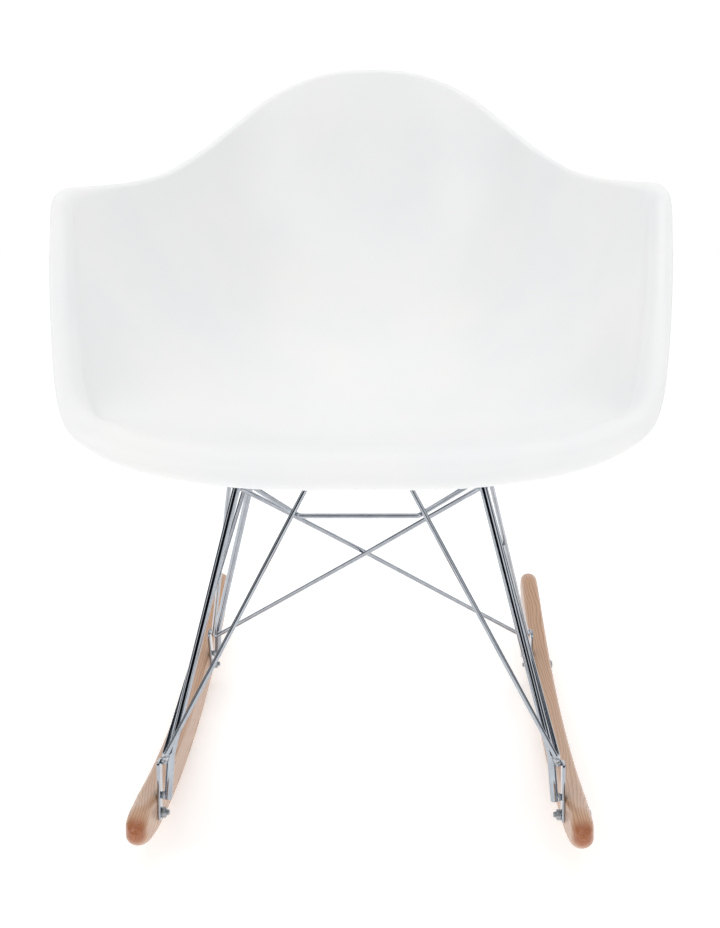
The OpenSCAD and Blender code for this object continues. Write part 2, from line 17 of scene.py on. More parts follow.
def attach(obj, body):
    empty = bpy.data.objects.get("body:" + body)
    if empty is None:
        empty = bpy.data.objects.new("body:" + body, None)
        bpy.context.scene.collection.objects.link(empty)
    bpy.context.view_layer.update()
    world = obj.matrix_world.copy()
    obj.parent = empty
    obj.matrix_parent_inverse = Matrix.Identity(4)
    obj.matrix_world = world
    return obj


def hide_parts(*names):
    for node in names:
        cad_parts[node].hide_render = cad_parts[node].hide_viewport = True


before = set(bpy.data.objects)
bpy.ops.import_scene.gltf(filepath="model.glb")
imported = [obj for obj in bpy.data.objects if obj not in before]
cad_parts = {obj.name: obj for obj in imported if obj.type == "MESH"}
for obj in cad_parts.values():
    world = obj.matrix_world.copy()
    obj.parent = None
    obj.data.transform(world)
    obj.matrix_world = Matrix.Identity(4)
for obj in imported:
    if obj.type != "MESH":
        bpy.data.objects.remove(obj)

log = logging.getLogger("rocking_armchair")
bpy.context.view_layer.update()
MM = 0.001
BODY = "root"


class Slot(Enum):
    """The record's material slots."""

    SHELL = "shell"
    WIRE = "plated_wire"
    ZINC = "zinc"
    WOOD = "runner_wood"
    RUBBER = "rubber"
    BRASS = "brass"


class Side(Enum):
    """The chair's two sides, by the sign of X."""

    LEFT = -1
    RIGHT = 1

    @property
    def word(self) -> str:
        """The side's name in lower case."""
        return self.name.lower()


# ---- Vectors --------------------------------------------------------------------------------------


def unit(v: np.ndarray) -> np.ndarray:
    """Vectors divided by their lengths, along the last axis."""
    return v / np.maximum(np.linalg.norm(v, axis=-1, keepdims=True), 1e-12)


def vec(x: float, y: float, z: float) -> np.ndarray:
    """A point or direction as an array."""
    return np.array([x, y, z], dtype=float)


def flip(p: np.ndarray) -> np.ndarray:
    """The same place on the chair's other side."""
    return p * vec(-1, 1, 1)


def mix(a: np.ndarray, b: np.ndarray, t: float) -> np.ndarray:
    """The place a share t of the way from a to b."""
    return a + (b - a) * t


def ease(x: np.ndarray) -> np.ndarray:
    """A smooth step: 3x^2 - 2x^3 of x held between 0 and 1."""
    x = np.clip(x, 0.0, 1.0)
    return x * x * (3 - 2 * x)


# ---- Colours and shader nodes ---------------------------------------------------------------------


def linear(hex_colour: str) -> tuple[float, float, float, float]:
    """Turns an sRGB hex colour into linear light.

    Args:
        hex_colour: six hex digits.

    Returns:
        Red, green, blue and alpha for a shader socket.
    """
    parts = [int(hex_colour[i : i + 2], 16) / 255 for i in (0, 2, 4)]
    light = [c / 12.92 if c <= 0.04045 else ((c + 0.055) / 1.055) ** 2.4 for c in parts]
    return (light[0], light[1], light[2], 1.0)


def add_node(
    tree: bpy.types.NodeTree,
    kind: str,
    settings: dict[str, object] | None = None,
    values: dict[str | int, object] | None = None,
    links: dict[str | int, bpy.types.NodeSocket] | None = None,
) -> bpy.types.Node:
    """Adds a shader node with its settings, its input values and its incoming links.

    Args:
        tree: the material's node tree.
        kind: the node's Blender type name.
        settings: node properties by name.
        values: input values by socket name or number.
        links: outputs of other nodes, by the socket that they go into.

    Returns:
        The new node.
    """
    node = tree.nodes.new(kind)
    for key, value in (settings or {}).items():
        setattr(node, key, value)
    for key, value in (values or {}).items():
        node.inputs[key].default_value = value
    for key, source in (links or {}).items():
        tree.links.new(source, node.inputs[key])
    return node


def colour_ramp(
    tree: bpy.types.NodeTree,
    source: bpy.types.NodeSocket,
    stops: list[tuple[float, str]],
) -> bpy.types.NodeSocket:
    """Adds a colour ramp over a factor.

    Args:
        tree: the material's node tree.
        source: the factor.
        stops: place from 0 to 1 and sRGB hex colour of each stop.

    Returns:
        The ramp's colour output.
    """
    node = add_node(tree, "ShaderNodeValToRGB", links={0: source})
    elements = node.color_ramp.elements
    while len(elements) < len(stops):
        elements.new(0.5)
    for element, (place, colour) in zip(elements, stops):
        element.position = place
        element.color = linear(colour)
    return node.outputs["Color"]


def span(
    tree: bpy.types.NodeTree,
    source: bpy.types.NodeSocket,
    low: float,
    high: float,
    to_low: float,
    to_high: float,
) -> bpy.types.NodeSocket:
    """Adds a node that carries one range of values over to another.

    Args:
        tree: the material's node tree.
        source: the value.
        low: where its range starts.
        high: where its range ends.
        to_low: what low becomes.
        to_high: what high becomes.

    Returns:
        The node's output.
    """
    values = {"From Min": low, "From Max": high, "To Min": to_low, "To Max": to_high}
    return add_node(tree, "ShaderNodeMapRange", values=values, links={"Value": source}).outputs["Result"]


def blend_colours(
    tree: bpy.types.NodeTree,
    mode: str,
    share: object,
    a: bpy.types.NodeSocket,
    b: object,
) -> bpy.types.NodeSocket:
    """Adds a colour mix.

    Args:
        tree: the material's node tree.
        mode: how b goes over a.
        share: how much of b, as a number or an output.
        a: the colour underneath.
        b: the colour on top, as an output or a colour value.

    Returns:
        The mixed colour.
    """
    node = add_node(tree, "ShaderNodeMix", {"data_type": "RGBA", "blend_type": mode}, links={6: a})
    for index, thing in ((0, share), (7, b)):
        if isinstance(thing, bpy.types.NodeSocket):
            tree.links.new(thing, node.inputs[index])
        else:
            node.inputs[index].default_value = thing
    return node.outputs[2]


# ---- Finishes -------------------------------------------------------------------------------------


@dataclass(frozen=True)
class Finish:
    """What a material is and how its surface was made.

    Attributes:
        name: the material's name.
        colour: base colour as sRGB hex.
        roughness: mean roughness.
    """

    name: str
    colour: str
    roughness: float

    def start(self) -> tuple[bpy.types.Material, bpy.types.NodeTree, bpy.types.Node, bpy.types.NodeSocket]:
        """Makes a node material with one principled shader.

        Returns:
            The material, its tree, its shader and the Object coordinates.
        """
        material = bpy.data.materials.new(self.name)
        material.use_nodes = True
        material.diffuse_color = linear(self.colour)
        tree = material.node_tree
        tree.nodes.clear()
        shader = add_node(
            tree,
            "ShaderNodeBsdfPrincipled",
            values={"Base Color": linear(self.colour), "Roughness": self.roughness},
        )
        add_node(tree, "ShaderNodeOutputMaterial", links={"Surface": shader.outputs[0]})
        where = add_node(tree, "ShaderNodeTexCoord").outputs["Object"]
        return material, tree, shader, where

    def build(self) -> bpy.types.Material:
        """Builds the material. Returns it."""
        return self.start()[0]


@dataclass(frozen=True)
class MouldedPolypropylene(Finish):
    """White injection-moulded polypropylene from a spark-textured tool.

    It gives the eye a soft satin sheen, broken by a fine even grain, and a slightly milky depth. The
    tool's grain is about 0.3 mm; it is drawn at 0.8 mm so that it shows.
    """

    grain_mm: float = 0.8
    pool_mm: float = 120.0

    def build(self) -> bpy.types.Material:
        """Builds the material. Returns it."""
        material, tree, shader, where = self.start()
        grain = add_node(
            tree,
            "ShaderNodeTexNoise",
            values={"Scale": 1 / (self.grain_mm * MM), "Detail": 2.0, "Roughness": 0.6},
            links={"Vector": where},
        )
        # The melt's flow and handling leave broad, barely visible changes of gloss and tone.
        pools = add_node(
            tree,
            "ShaderNodeTexNoise",
            values={"Scale": 1 / (self.pool_mm * MM), "Detail": 3.0},
            links={"Vector": where},
        )
        tree.links.new(
            colour_ramp(tree, pools.outputs[0], [(0.3, "F4F5F6"), (0.7, "F8F8F7")]),
            shader.inputs["Base Color"],
        )
        tree.links.new(
            span(tree, pools.outputs[0], 0.3, 0.7, self.roughness - 0.03, self.roughness + 0.05),
            shader.inputs["Roughness"],
        )
        bump = add_node(
            tree,
            "ShaderNodeBump",
            values={"Strength": 0.10, "Distance": 0.0001},
            links={"Height": grain.outputs[0]},
        )
        tree.links.new(bump.outputs[0], shader.inputs["Normal"])
        shader.inputs["IOR"].default_value = 1.49
        shader.inputs["Subsurface Weight"].default_value = 0.06
        shader.inputs["Subsurface Radius"].default_value = (0.003, 0.003, 0.0027)
        shader.inputs["Subsurface Scale"].default_value = 1.0
        return material


@dataclass(frozen=True)
class PlatedSteel(Finish):
    """Bright nickel-chrome plate on drawn steel.

    It gives the eye mirror streaks along each wire, with faint clouds of haze about 15 mm across and
    hair scuffs about 0.4 mm apart.
    """

    haze: float = 0.06
    cloud_mm: float = 15.0
    scuff_mm: float = 0.4

    def build(self) -> bpy.types.Material:
        """Builds the material. Returns it."""
        material, tree, shader, where = self.start()
        shader.inputs["Metallic"].default_value = 1.0
        clouds = add_node(
            tree,
            "ShaderNodeTexNoise",
            values={"Scale": 1 / (self.cloud_mm * MM), "Detail": 4.0, "Roughness": 0.65},
            links={"Vector": where},
        )
        scuffs = add_node(
            tree,
            "ShaderNodeTexNoise",
            values={"Scale": 1 / (self.scuff_mm * MM), "Detail": 1.0},
            links={"Vector": where},
        )
        tree.links.new(
            span(tree, clouds.outputs[0], 0.35, 0.75, self.roughness, self.roughness + self.haze),
            shader.inputs["Roughness"],
        )
        tree.links.new(
            colour_ramp(tree, clouds.outputs[0], [(0.35, self.colour), (0.85, "9CA1A9")]),
            shader.inputs["Base Color"],
        )
        bump = add_node(
            tree,
            "ShaderNodeBump",
            values={"Strength": 0.05, "Distance": 0.00005},
            links={"Height": scuffs.outputs[0]},
        )
        tree.links.new(bump.outputs[0], shader.inputs["Normal"])
        return material


@dataclass(frozen=True)
class WeldedSteel(Finish):
    """Plate over hand-made weld metal: the same bright metal, broken by ripples about 1.2 mm apart."""

    ripple_mm: float = 1.2

    def build(self) -> bpy.types.Material:
        """Builds the material. Returns it."""
        material, tree, shader, where = self.start()
        shader.inputs["Metallic"].default_value = 1.0
        lumps = add_node(
            tree,
            "ShaderNodeTexNoise",
            values={"Scale": 1 / (self.ripple_mm * MM), "Detail": 2.0},
            links={"Vector": where},
        )
        tree.links.new(
            span(tree, lumps.outputs[0], 0.3, 0.7, self.roughness, self.roughness + 0.2),
            shader.inputs["Roughness"],
        )
        bump = add_node(
            tree,
            "ShaderNodeBump",
            values={"Strength": 0.5, "Distance": 0.0004},
            links={"Height": lumps.outputs[0]},
        )
        tree.links.new(bump.outputs[0], shader.inputs["Normal"])
        return material


@dataclass(frozen=True)
class ZincPlated(Finish):
    """Zinc-plated steel fasteners: duller than the wire, with a mottled haze of crystals 1.5 mm across."""

    crystal_mm: float = 1.5

    def build(self) -> bpy.types.Material:
        """Builds the material. Returns it."""
        material, tree, shader, where = self.start()
        shader.inputs["Metallic"].default_value = 1.0
        cells = add_node(
            tree,
            "ShaderNodeTexVoronoi",
            values={"Scale": 1 / (self.crystal_mm * MM)},
            links={"Vector": where},
        )
        cloud = add_node(
            tree, "ShaderNodeTexNoise", values={"Scale": 500.0, "Detail": 3.0}, links={"Vector": where},
        )
        tree.links.new(
            colour_ramp(tree, cells.outputs["Distance"], [(0.0, self.colour), (0.8, "9DA1A6")]),
            shader.inputs["Base Color"],
        )
        tree.links.new(
            span(tree, cloud.outputs[0], 0.3, 0.7, self.roughness - 0.06, self.roughness + 0.12),
            shader.inputs["Roughness"],
        )
        return material


@dataclass(frozen=True)
class VarnishedBeech(Finish):
    """Bent beech under a clear satin varnish.

    It gives the eye a pinkish tan ground with growth lines about 3 mm apart that run long and wavy
    along the runner, fibres and short dark flecks 2 to 3 mm long, and warmer, darker end grain on the
    tips. The UV map "grain" holds metres along the runner and metres round its section, and the
    attribute "end_grain" is 1 at a tip.
    """

    ring_mm: float = 3.0
    fibre_mm: float = 0.5
    fleck_mm: float = 0.7

    def build(self) -> bpy.types.Material:
        """Builds the material. Returns it."""
        material, tree, shader, where = self.start()
        along = add_node(tree, "ShaderNodeUVMap", {"uv_map": "grain"}).outputs["UV"]
        ends = add_node(tree, "ShaderNodeAttribute", {"attribute_name": "end_grain"}).outputs["Fac"]
        # Growth rings are shells round an axis that lies almost along the runner, bent by slow noise.
        block = add_node(
            tree,
            "ShaderNodeMapping",
            values={
                "Location": (0.0, 0.0, 0.035), "Rotation": (0.05, 0.0, 0.03), "Scale": (1.0, 0.12, 1.0),
            },
            links={"Vector": where},
        )
        drift = add_node(
            tree,
            "ShaderNodeTexNoise",
            values={"Scale": 24.0, "Detail": 3.0, "Roughness": 0.45},
            links={"Vector": block.outputs[0]},
        )
        shift = add_node(
            tree,
            "ShaderNodeVectorMath",
            {"operation": "SCALE"},
            {"Scale": 0.03},
            {0: drift.outputs["Color"]},
        )
        bent = add_node(
            tree,
            "ShaderNodeVectorMath",
            {"operation": "ADD"},
            links={0: block.outputs[0], 1: shift.outputs[0]},
        )
        # A wave texture of scale s repeats every 2 pi / (20 s) of its distance.
        rings = add_node(
            tree,
            "ShaderNodeTexWave",
            {"wave_type": "RINGS", "rings_direction": "Y", "wave_profile": "SAW"},
            {
                "Scale": math.pi / 10 / (self.ring_mm * MM),
                "Distortion": 1.1,
                "Detail": 2.0,
                "Detail Scale": 1.2,
            },
            {"Vector": bent.outputs[0]},
        )
        ground = colour_ramp(
            tree,
            rings.outputs["Fac"],
            [(0.0, "CDA484"), (0.5, "C29674"), (0.8, "AF815E"), (0.93, "8F6444"), (1.0, "A87A59")],
        )
        long_way = add_node(
            tree,
            "ShaderNodeMapping",
            values={"Scale": (1 / (10 * MM), 1 / (self.fibre_mm * MM), 1.0)},
            links={"Vector": along},
        )
        fibres = add_node(
            tree,
            "ShaderNodeTexNoise",
            values={"Scale": 1.0, "Detail": 3.0, "Roughness": 0.6},
            links={"Vector": long_way.outputs[0]},
        )
        streaks = colour_ramp(tree, fibres.outputs[0], [(0.25, "B1866A"), (0.75, "D3AC8C")])
        wood = blend_colours(tree, "MIX", 0.34, ground, streaks)
        short_way = add_node(
            tree,
            "ShaderNodeMapping",
            values={"Scale": (1 / (3.2 * MM), 1 / (self.fleck_mm * MM), 1.0)},
            links={"Vector": along},
        )
        cells = add_node(tree, "ShaderNodeTexVoronoi", links={"Vector": short_way.outputs[0]})
        flecks = span(tree, cells.outputs["Distance"], 0.10, 0.26, 0.45, 0.0)
        wood = blend_colours(tree, "MIX", flecks, wood, linear("8D6246"))
        # Cut pores at the tips drink the varnish: warm and dark, with specks 0.5 mm across.
        pores = add_node(
            tree,
            "ShaderNodeTexNoise",
            values={"Scale": 1 / (0.9 * MM), "Detail": 3.0, "Roughness": 0.7},
            links={"Vector": where},
        )
        end_tone = colour_ramp(tree, pores.outputs[0], [(0.32, "7E4022"), (0.68, "C07A4E")])
        wood = blend_colours(tree, "MIX", ends, wood, end_tone)
        tree.links.new(wood, shader.inputs["Base Color"])
        tree.links.new(
            span(tree, fibres.outputs[0], 0.3, 0.7, self.roughness + 0.05, self.roughness - 0.04),
            shader.inputs["Roughness"],
        )
        bump = add_node(
            tree,
            "ShaderNodeBump",
            values={"Strength": 0.12, "Distance": 0.0001},
            links={"Height": fibres.outputs[0]},
        )
        tree.links.new(bump.outputs[0], shader.inputs["Normal"])
        shader.inputs["Coat Weight"].default_value = 0.35
        shader.inputs["Coat Roughness"].default_value = 0.22
        shader.inputs["IOR"].default_value = 1.5
        return material


@dataclass(frozen=True)
class MouldedRubber(Finish):
    """Black moulded rubber: matt, with a dusty bloom in clouds about 4 mm across and a fine orange peel."""

    bloom_mm: float = 4.0

    def build(self) -> bpy.types.Material:
        """Builds the material. Returns it."""
        material, tree, shader, where = self.start()
        bloom = add_node(
            tree,
            "ShaderNodeTexNoise",
            values={"Scale": 1 / (self.bloom_mm * MM), "Detail": 4.0},
            links={"Vector": where},
        )
        peel = add_node(
            tree,
            "ShaderNodeTexNoise",
            values={"Scale": 1 / (0.6 * MM), "Detail": 1.0},
            links={"Vector": where},
        )
        tree.links.new(
            colour_ramp(tree, bloom.outputs[0], [(0.4, self.colour), (0.8, "3A3A3B")]),
            shader.inputs["Base Color"],
        )
        bump = add_node(
            tree,
            "ShaderNodeBump",
            values={"Strength": 0.25, "Distance": 0.0001},
            links={"Height": peel.outputs[0]},
        )
        tree.links.new(bump.outputs[0], shader.inputs["Normal"])
        shader.inputs["IOR"].default_value = 1.52
        return material


@dataclass(frozen=True)
class TurnedBrass(Finish):
    """Turned brass: a warm metal with rings of tool marks about 0.3 mm apart and spots of tarnish."""

    mark_mm: float = 0.3

    def build(self) -> bpy.types.Material:
        """Builds the material. Returns it."""
        material, tree, shader, where = self.start()
        shader.inputs["Metallic"].default_value = 1.0
        marks = add_node(
            tree,
            "ShaderNodeTexWave",
            {"bands_direction": "Z"},
            {"Scale": math.pi / 10 / (self.mark_mm * MM)},
            {"Vector": where},
        )
        spots = add_node(
            tree, "ShaderNodeTexNoise", values={"Scale": 300.0, "Detail": 3.0}, links={"Vector": where},
        )
        tree.links.new(
            colour_ramp(tree, spots.outputs[0], [(0.4, self.colour), (0.8, "8C6A32")]),
            shader.inputs["Base Color"],
        )
        bump = add_node(
            tree,
            "ShaderNodeBump",
            values={"Strength": 0.2, "Distance": 0.00004},
            links={"Height": marks.outputs["Fac"]},
        )
        tree.links.new(bump.outputs[0], shader.inputs["Normal"])
        return material


@dataclass(frozen=True)
class StudioPaper(Finish):
    """Seamless white background paper, lit from behind: dead matt with a very faint tooth."""

    glow: float = 0.32

    def build(self) -> bpy.types.Material:
        """Builds the material. Returns it."""
        material, tree, shader, where = self.start()
        tooth = add_node(
            tree, "ShaderNodeTexNoise", values={"Scale": 400.0, "Detail": 2.0}, links={"Vector": where},
        )
        tree.links.new(
            colour_ramp(tree, tooth.outputs[0], [(0.3, self.colour), (0.7, "FFFFFF")]),
            shader.inputs["Base Color"],
        )
        shader.inputs["Emission Color"].default_value = linear("FFFFFF")
        shader.inputs["Emission Strength"].default_value = self.glow
        return material


@dataclass
class Finishes:
    """The chair's materials, one for each finish."""

    def __post_init__(self) -> None:
        """Builds every material."""
        self.shell = MouldedPolypropylene("white_polypropylene_moulded", "F4F4F4", 0.34).build()
        self.wire = PlatedSteel("steel_wire_bright_plated", "B4B9C0", 0.045).build()
        self.weld = WeldedSteel("steel_weld_bright_plated", "BABEC3", 0.20).build()
        self.zinc = ZincPlated("steel_zinc_plated", "B2B5B8", 0.28).build()
        self.wood = VarnishedBeech("beech_satin_varnished", "C9A07C", 0.38).build()
        self.rubber = MouldedRubber("rubber_black_moulded", "161617", 0.62).build()
        self.brass = TurnedBrass("brass_turned", "B98F4C", 0.26).build()
        self.paper = StudioPaper("paper_white_studio", "FBFBFB", 0.9).build()


# ---- Meshes ---------------------------------------------------------------------------------------


def grid_quads(rows: int, columns: int, wrap_rows: bool = False, wrap_columns: bool = True) -> np.ndarray:
    """Corner numbers of the quads of a grid of points, numbered row by row.

    Args:
        rows: number of rows.
        columns: number of columns.
        wrap_rows: whether the last row joins the first.
        wrap_columns: whether the last column joins the first.

    Returns:
        An array of four corners for each quad.
    """
    i = np.arange(rows if wrap_rows else rows - 1)[:, None]
    j = np.arange(columns if wrap_columns else columns - 1)[None, :]
    i2, j2 = (i + 1) % rows, (j + 1) % columns
    corners = [i * columns + j, i * columns + j2, i2 * columns + j2, i2 * columns + j]
    return np.stack([np.broadcast_to(c, (i.shape[0], j.shape[1])) for c in corners], -1).reshape(-1, 4)


@dataclass
class Skin:
    """Points and faces of one closed skin.

    Attributes:
        points: one row of X, Y, Z for each point.
        quads: four corners for each quad.
        fans: three corners for each triangle.
    """

    points: np.ndarray
    quads: np.ndarray
    fans: np.ndarray

    def turned(self) -> "Skin":
        """The same skin with its faces turned inside out."""
        return Skin(self.points, self.quads[:, ::-1], self.fans[:, ::-1])

    def flipped(self) -> "Skin":
        """The same skin on the chair's other side, with its faces still pointing outwards."""
        return Skin(flip(self.points), self.quads[:, ::-1], self.fans[:, ::-1])


def tube_skin(
    rings: np.ndarray,
    start: np.ndarray | None = None,
    end: np.ndarray | None = None,
    loop: bool = False,
) -> Skin:
    """A skin over a stack of rings, each a closed row of points.

    Args:
        rings: an array of rings, by points round a ring, by 3.
        start: the point that closes the first ring, or None.
        end: the point that closes the last ring, or None.
        loop: whether the last ring joins the first.

    Returns:
        The skin.
    """
    n, m, _ = rings.shape
    points = [rings.reshape(-1, 3)]
    fans = [np.zeros((0, 3), dtype=int)]
    j = np.arange(m)
    count = n * m
    for pole, row, turn in ((start, 0, True), (end, n - 1, False)):
        if pole is not None:
            points.append(np.asarray(pole, dtype=float)[None])
            a, b = row * m + j, row * m + (j + 1) % m
            fans.append(np.stack([np.full(m, count), b if turn else a, a if turn else b], -1))
            count += 1
    return Skin(np.concatenate(points), grid_quads(n, m, wrap_rows=loop), np.concatenate(fans))


def outward(skin: Skin) -> Skin:
    """The skin with its faces pointing outwards, told from the sign of the volume that it encloses.

    Volume is the sum over triangles of a . (b x c) / 6.
    """
    q, p = skin.quads, skin.points
    tris = np.concatenate([q[:, [0, 1, 2]], q[:, [0, 2, 3]], skin.fans])
    volume = np.einsum("ij,ij->", p[tris[:, 0]], np.cross(p[tris[:, 1]], p[tris[:, 2]]))
    return skin if volume > 0 else skin.turned()


def make_piece(
    name: str,
    skins: list[Skin],
    material: bpy.types.Material,
    replaces: tuple[str, ...] = (),
    crisp: float | None = None,
) -> bpy.types.Object:
    """Makes one object out of closed skins and puts it on the chair's body.

    Args:
        name: the piece's name.
        skins: its skins.
        material: its finish.
        replaces: CAD nodes that it stands for.
        crisp: the angle in degrees from which its edges are sharp, or None for smooth all over.

    Returns:
        The object, which sits at the origin.
    """
    points, loops, sizes, base = [], [], [], 0
    for skin in (outward(s) for s in skins):
        points.append(skin.points)
        loops += [(skin.quads + base).ravel(), (skin.fans + base).ravel()]
        sizes += [np.full(len(skin.quads), 4), np.full(len(skin.fans), 3)]
        base += len(skin.points)
    points, loops, sizes = np.concatenate(points), np.concatenate(loops), np.concatenate(sizes)
    mesh = bpy.data.meshes.new(name)
    mesh.vertices.add(len(points))
    mesh.vertices.foreach_set("co", points.astype(np.float32).ravel())
    mesh.loops.add(len(loops))
    mesh.loops.foreach_set("vertex_index", loops.astype(np.int32))
    mesh.polygons.add(len(sizes))
    mesh.polygons.foreach_set("loop_start", (np.cumsum(sizes) - sizes).astype(np.int32))
    mesh.update(calc_edges=True)
    mesh.validate()
    mesh.polygons.foreach_set("use_smooth", np.ones(len(mesh.polygons), dtype=bool))
    mesh.materials.append(material)
    piece = bpy.data.objects.new(name, mesh)
    bpy.context.scene.collection.objects.link(piece)
    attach(piece, BODY)
    if replaces:
        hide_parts(*replaces)
    if crisp is not None:
        mesh.set_sharp_from_angle(angle=math.radians(crisp))
    log.info("%s: %d faces", name, len(sizes))
    return piece


@dataclass(frozen=True)
class Pose:
    """A local frame: local Z lies along axis, and local X as near as it can to side."""

    origin: np.ndarray
    axis: np.ndarray
    side: np.ndarray

    def place(self, local: np.ndarray) -> np.ndarray:
        """Carries local points into the chair's frame: origin + x X + y Y + z Z."""
        z = unit(self.axis)
        x = unit(self.side - z * (self.side @ z))
        return self.origin + local @ np.stack([x, np.cross(z, x), z])


def revolved(
    profile: np.ndarray,
    pose: Pose,
    sides: int = 48,
    hexed: np.ndarray | None = None,
    loop: bool = False,
) -> Skin:
    """A profile carried round an axis.

    A point is (r c, r s, z) with c and s the cosine and sine of the angle. Where hexed is 1, r becomes
    r / cos(a), a being the angle from the middle of the nearest of six flats, which makes a hexagon.

    Args:
        profile: rows of radius and height. A first or last radius of 0 closes that end.
        pose: where it stands.
        sides: points round the axis, a multiple of 12.
        hexed: a share from 0 to 1 for each row, or None for round.
        loop: whether the profile closes on itself, as in a ring.

    Returns:
        The skin.
    """
    turn = np.arange(sides) / sides * 2 * math.pi
    flat = np.mod(turn + math.pi / 6, math.pi / 3) - math.pi / 6
    share = np.zeros((len(profile), 1)) if hexed is None else np.asarray(hexed, dtype=float)[:, None]
    radius = profile[:, :1] * (1 + share * (1 / np.cos(flat)[None, :] - 1))
    rings = np.stack(
        [radius * np.cos(turn), radius * np.sin(turn), np.broadcast_to(profile[:, 1:2], radius.shape)], -1,
    )
    start, end = None, None
    if not loop and profile[0, 0] == 0:
        start, rings = pose.place(vec(0, 0, profile[0, 1])), rings[1:]
    if not loop and profile[-1, 0] == 0:
        end, rings = pose.place(vec(0, 0, profile[-1, 1])), rings[:-1]
    return tube_skin(pose.place(rings.reshape(-1, 3)).reshape(rings.shape), start, end, loop)


def rounded_profile(corners: list[tuple[float, float, float]], steps: int = 5) -> np.ndarray:
    """A profile with its corners rounded.

    Each corner becomes an arc drawn as the curve (1-t)^2 a + 2 t (1-t) corner + t^2 b between points a
    and b that lie the corner's radius back along its two edges.

    Args:
        corners: radius from the axis, height and rounding of each corner.
        steps: spans in each rounding.

    Returns:
        Rows of radius and height.
    """
    places = np.array([c[:2] for c in corners], dtype=float)
    t = np.linspace(0, 1, steps + 1)[:, None]
    rows = []
    for i, (_, _, cut) in enumerate(corners):
        here = places[i]
        if cut <= 0 or i in (0, len(corners) - 1):
            rows.append(here[None])
            continue
        a = here + unit(places[i - 1] - here) * cut
        b = here + unit(places[i + 1] - here) * cut
        rows.append((1 - t) ** 2 * a + 2 * t * (1 - t) * here + t**2 * b)
    return np.concatenate(rows)


def bent_path(corners: list[np.ndarray], bends: list[float], step: float = 0.0015) -> np.ndarray:
    """The centre line of a bent wire: straight runs joined by true arcs.

    An arc of radius r at a corner starts r tan(turn / 2) before it. Its points are
    centre + r (sin(a) u - cos(a) n), with u along the first run and n towards the inside of the bend.

    Args:
        corners: the wire's ends and corners.
        bends: the bend radius at each inner corner.
        step: the longest step in an arc.

    Returns:
        Points along the wire.
    """
    rows = [corners[0][None]]
    for before, here, after, radius in zip(corners[:-2], corners[1:-1], corners[2:], bends):
        u, w = unit(here - before), unit(after - here)
        turn = math.acos(float(np.clip(u @ w, -1, 1)))
        inside = unit(w - u * (u @ w))
        start = here - u * radius * math.tan(turn / 2)
        angles = np.linspace(0, turn, max(6, int(radius * turn / step)))[:, None]
        rows.append(start + radius * (np.sin(angles) * u + (1 - np.cos(angles)) * inside))
    rows.append(corners[-1][None])
    path = np.concatenate(rows)
    # Long straight runs get points every 12 mm, so that the faces stay even.
    gaps = np.linalg.norm(np.diff(path, axis=0), axis=1)
    counts = np.maximum(1, np.ceil(gaps / 0.012).astype(int))
    index = np.repeat(np.arange(len(gaps)), counts)
    share = np.concatenate([np.arange(c) / c for c in counts])[:, None]
    return np.concatenate([path[index] * (1 - share) + path[index + 1] * share, path[-1:]])


def wire_skin(path: np.ndarray, radius: float, side: np.ndarray, sides: int = 20) -> Skin:
    """A round wire along a path, with its cut ends a little rounded.

    A ring's points are p + r (cos(a) n + sin(a) b), with n the side direction made square to the path
    and b square to both. At each end the last rings shrink as r sqrt(1 - s^2).

    Args:
        path: points along the wire.
        radius: the wire's radius.
        side: a direction that the wire never runs along.
        sides: points round the wire.

    Returns:
        The skin.
    """
    tangent = unit(np.gradient(path, axis=0))
    s = np.array([0.0, 0.35, 0.65, 0.85, 0.97])
    dome = 0.35 * radius
    first = path[0] + tangent[0] * dome * (1 - s[::-1, None])
    last = path[-1] - tangent[-1] * dome * (1 - s[:, None])
    line = np.concatenate([first, path[2:-2], last])
    along = np.concatenate([np.repeat(tangent[:1], 5, 0), tangent[2:-2], np.repeat(tangent[-1:], 5, 0)])
    shrink = np.sqrt(1 - s**2 * 0.9)
    radii = np.concatenate([shrink[::-1], np.ones(len(path) - 4), shrink]) * radius
    n = unit(side - along * (along @ side)[:, None])
    b = np.cross(along, n)
    turn = np.arange(sides) / sides * 2 * math.pi
    ring = np.cos(turn)[None, :, None] * n[:, None] + np.sin(turn)[None, :, None] * b[:, None]
    return tube_skin(line[:, None] + radii[:, None, None] * ring, path[0], path[-1])


def weld_skin(
    centre: np.ndarray,
    along: np.ndarray,
    length: float,
    width: float,
    ripples: float = 3.0,
) -> Skin:
    """A weld bead: an egg-shaped blob whose width swells and dips along its run.

    With h from -1 to 1 along the bead, a ring's radius is w sqrt(1 - h^2) (1 + 0.09 cos(pi ripples h)).

    Args:
        centre: the bead's middle.
        along: the way that it runs.
        length: its length.
        width: its width.
        ripples: how many ripples it has.

    Returns:
        The skin.
    """
    h = np.sin(np.linspace(-1, 1, 17)[1:-1] * math.pi / 2)
    turn = np.arange(20) / 20 * 2 * math.pi
    radius = width / 2 * np.sqrt(1 - h**2) * (1 + 0.09 * np.cos(math.pi * ripples * h))
    wobble = 1 + 0.05 * np.sin(2 * turn + 1.0)[None, :] + 0.03 * np.sin(3 * turn[None, :] + 5 * h[:, None])
    r = radius[:, None] * wobble
    local = np.stack(
        [r * np.cos(turn), r * np.sin(turn), np.broadcast_to(h[:, None] * length / 2, r.shape)], -1,
    )
    side = vec(1, 0, 0) if abs(unit(along)[0]) < 0.9 else vec(0, 1, 0)
    pose = Pose(centre, along, side)
    rings = pose.place(local.reshape(-1, 3)).reshape(local.shape)
    return tube_skin(rings, pose.place(vec(0, 0, -length / 2)), pose.place(vec(0, 0, length / 2)))


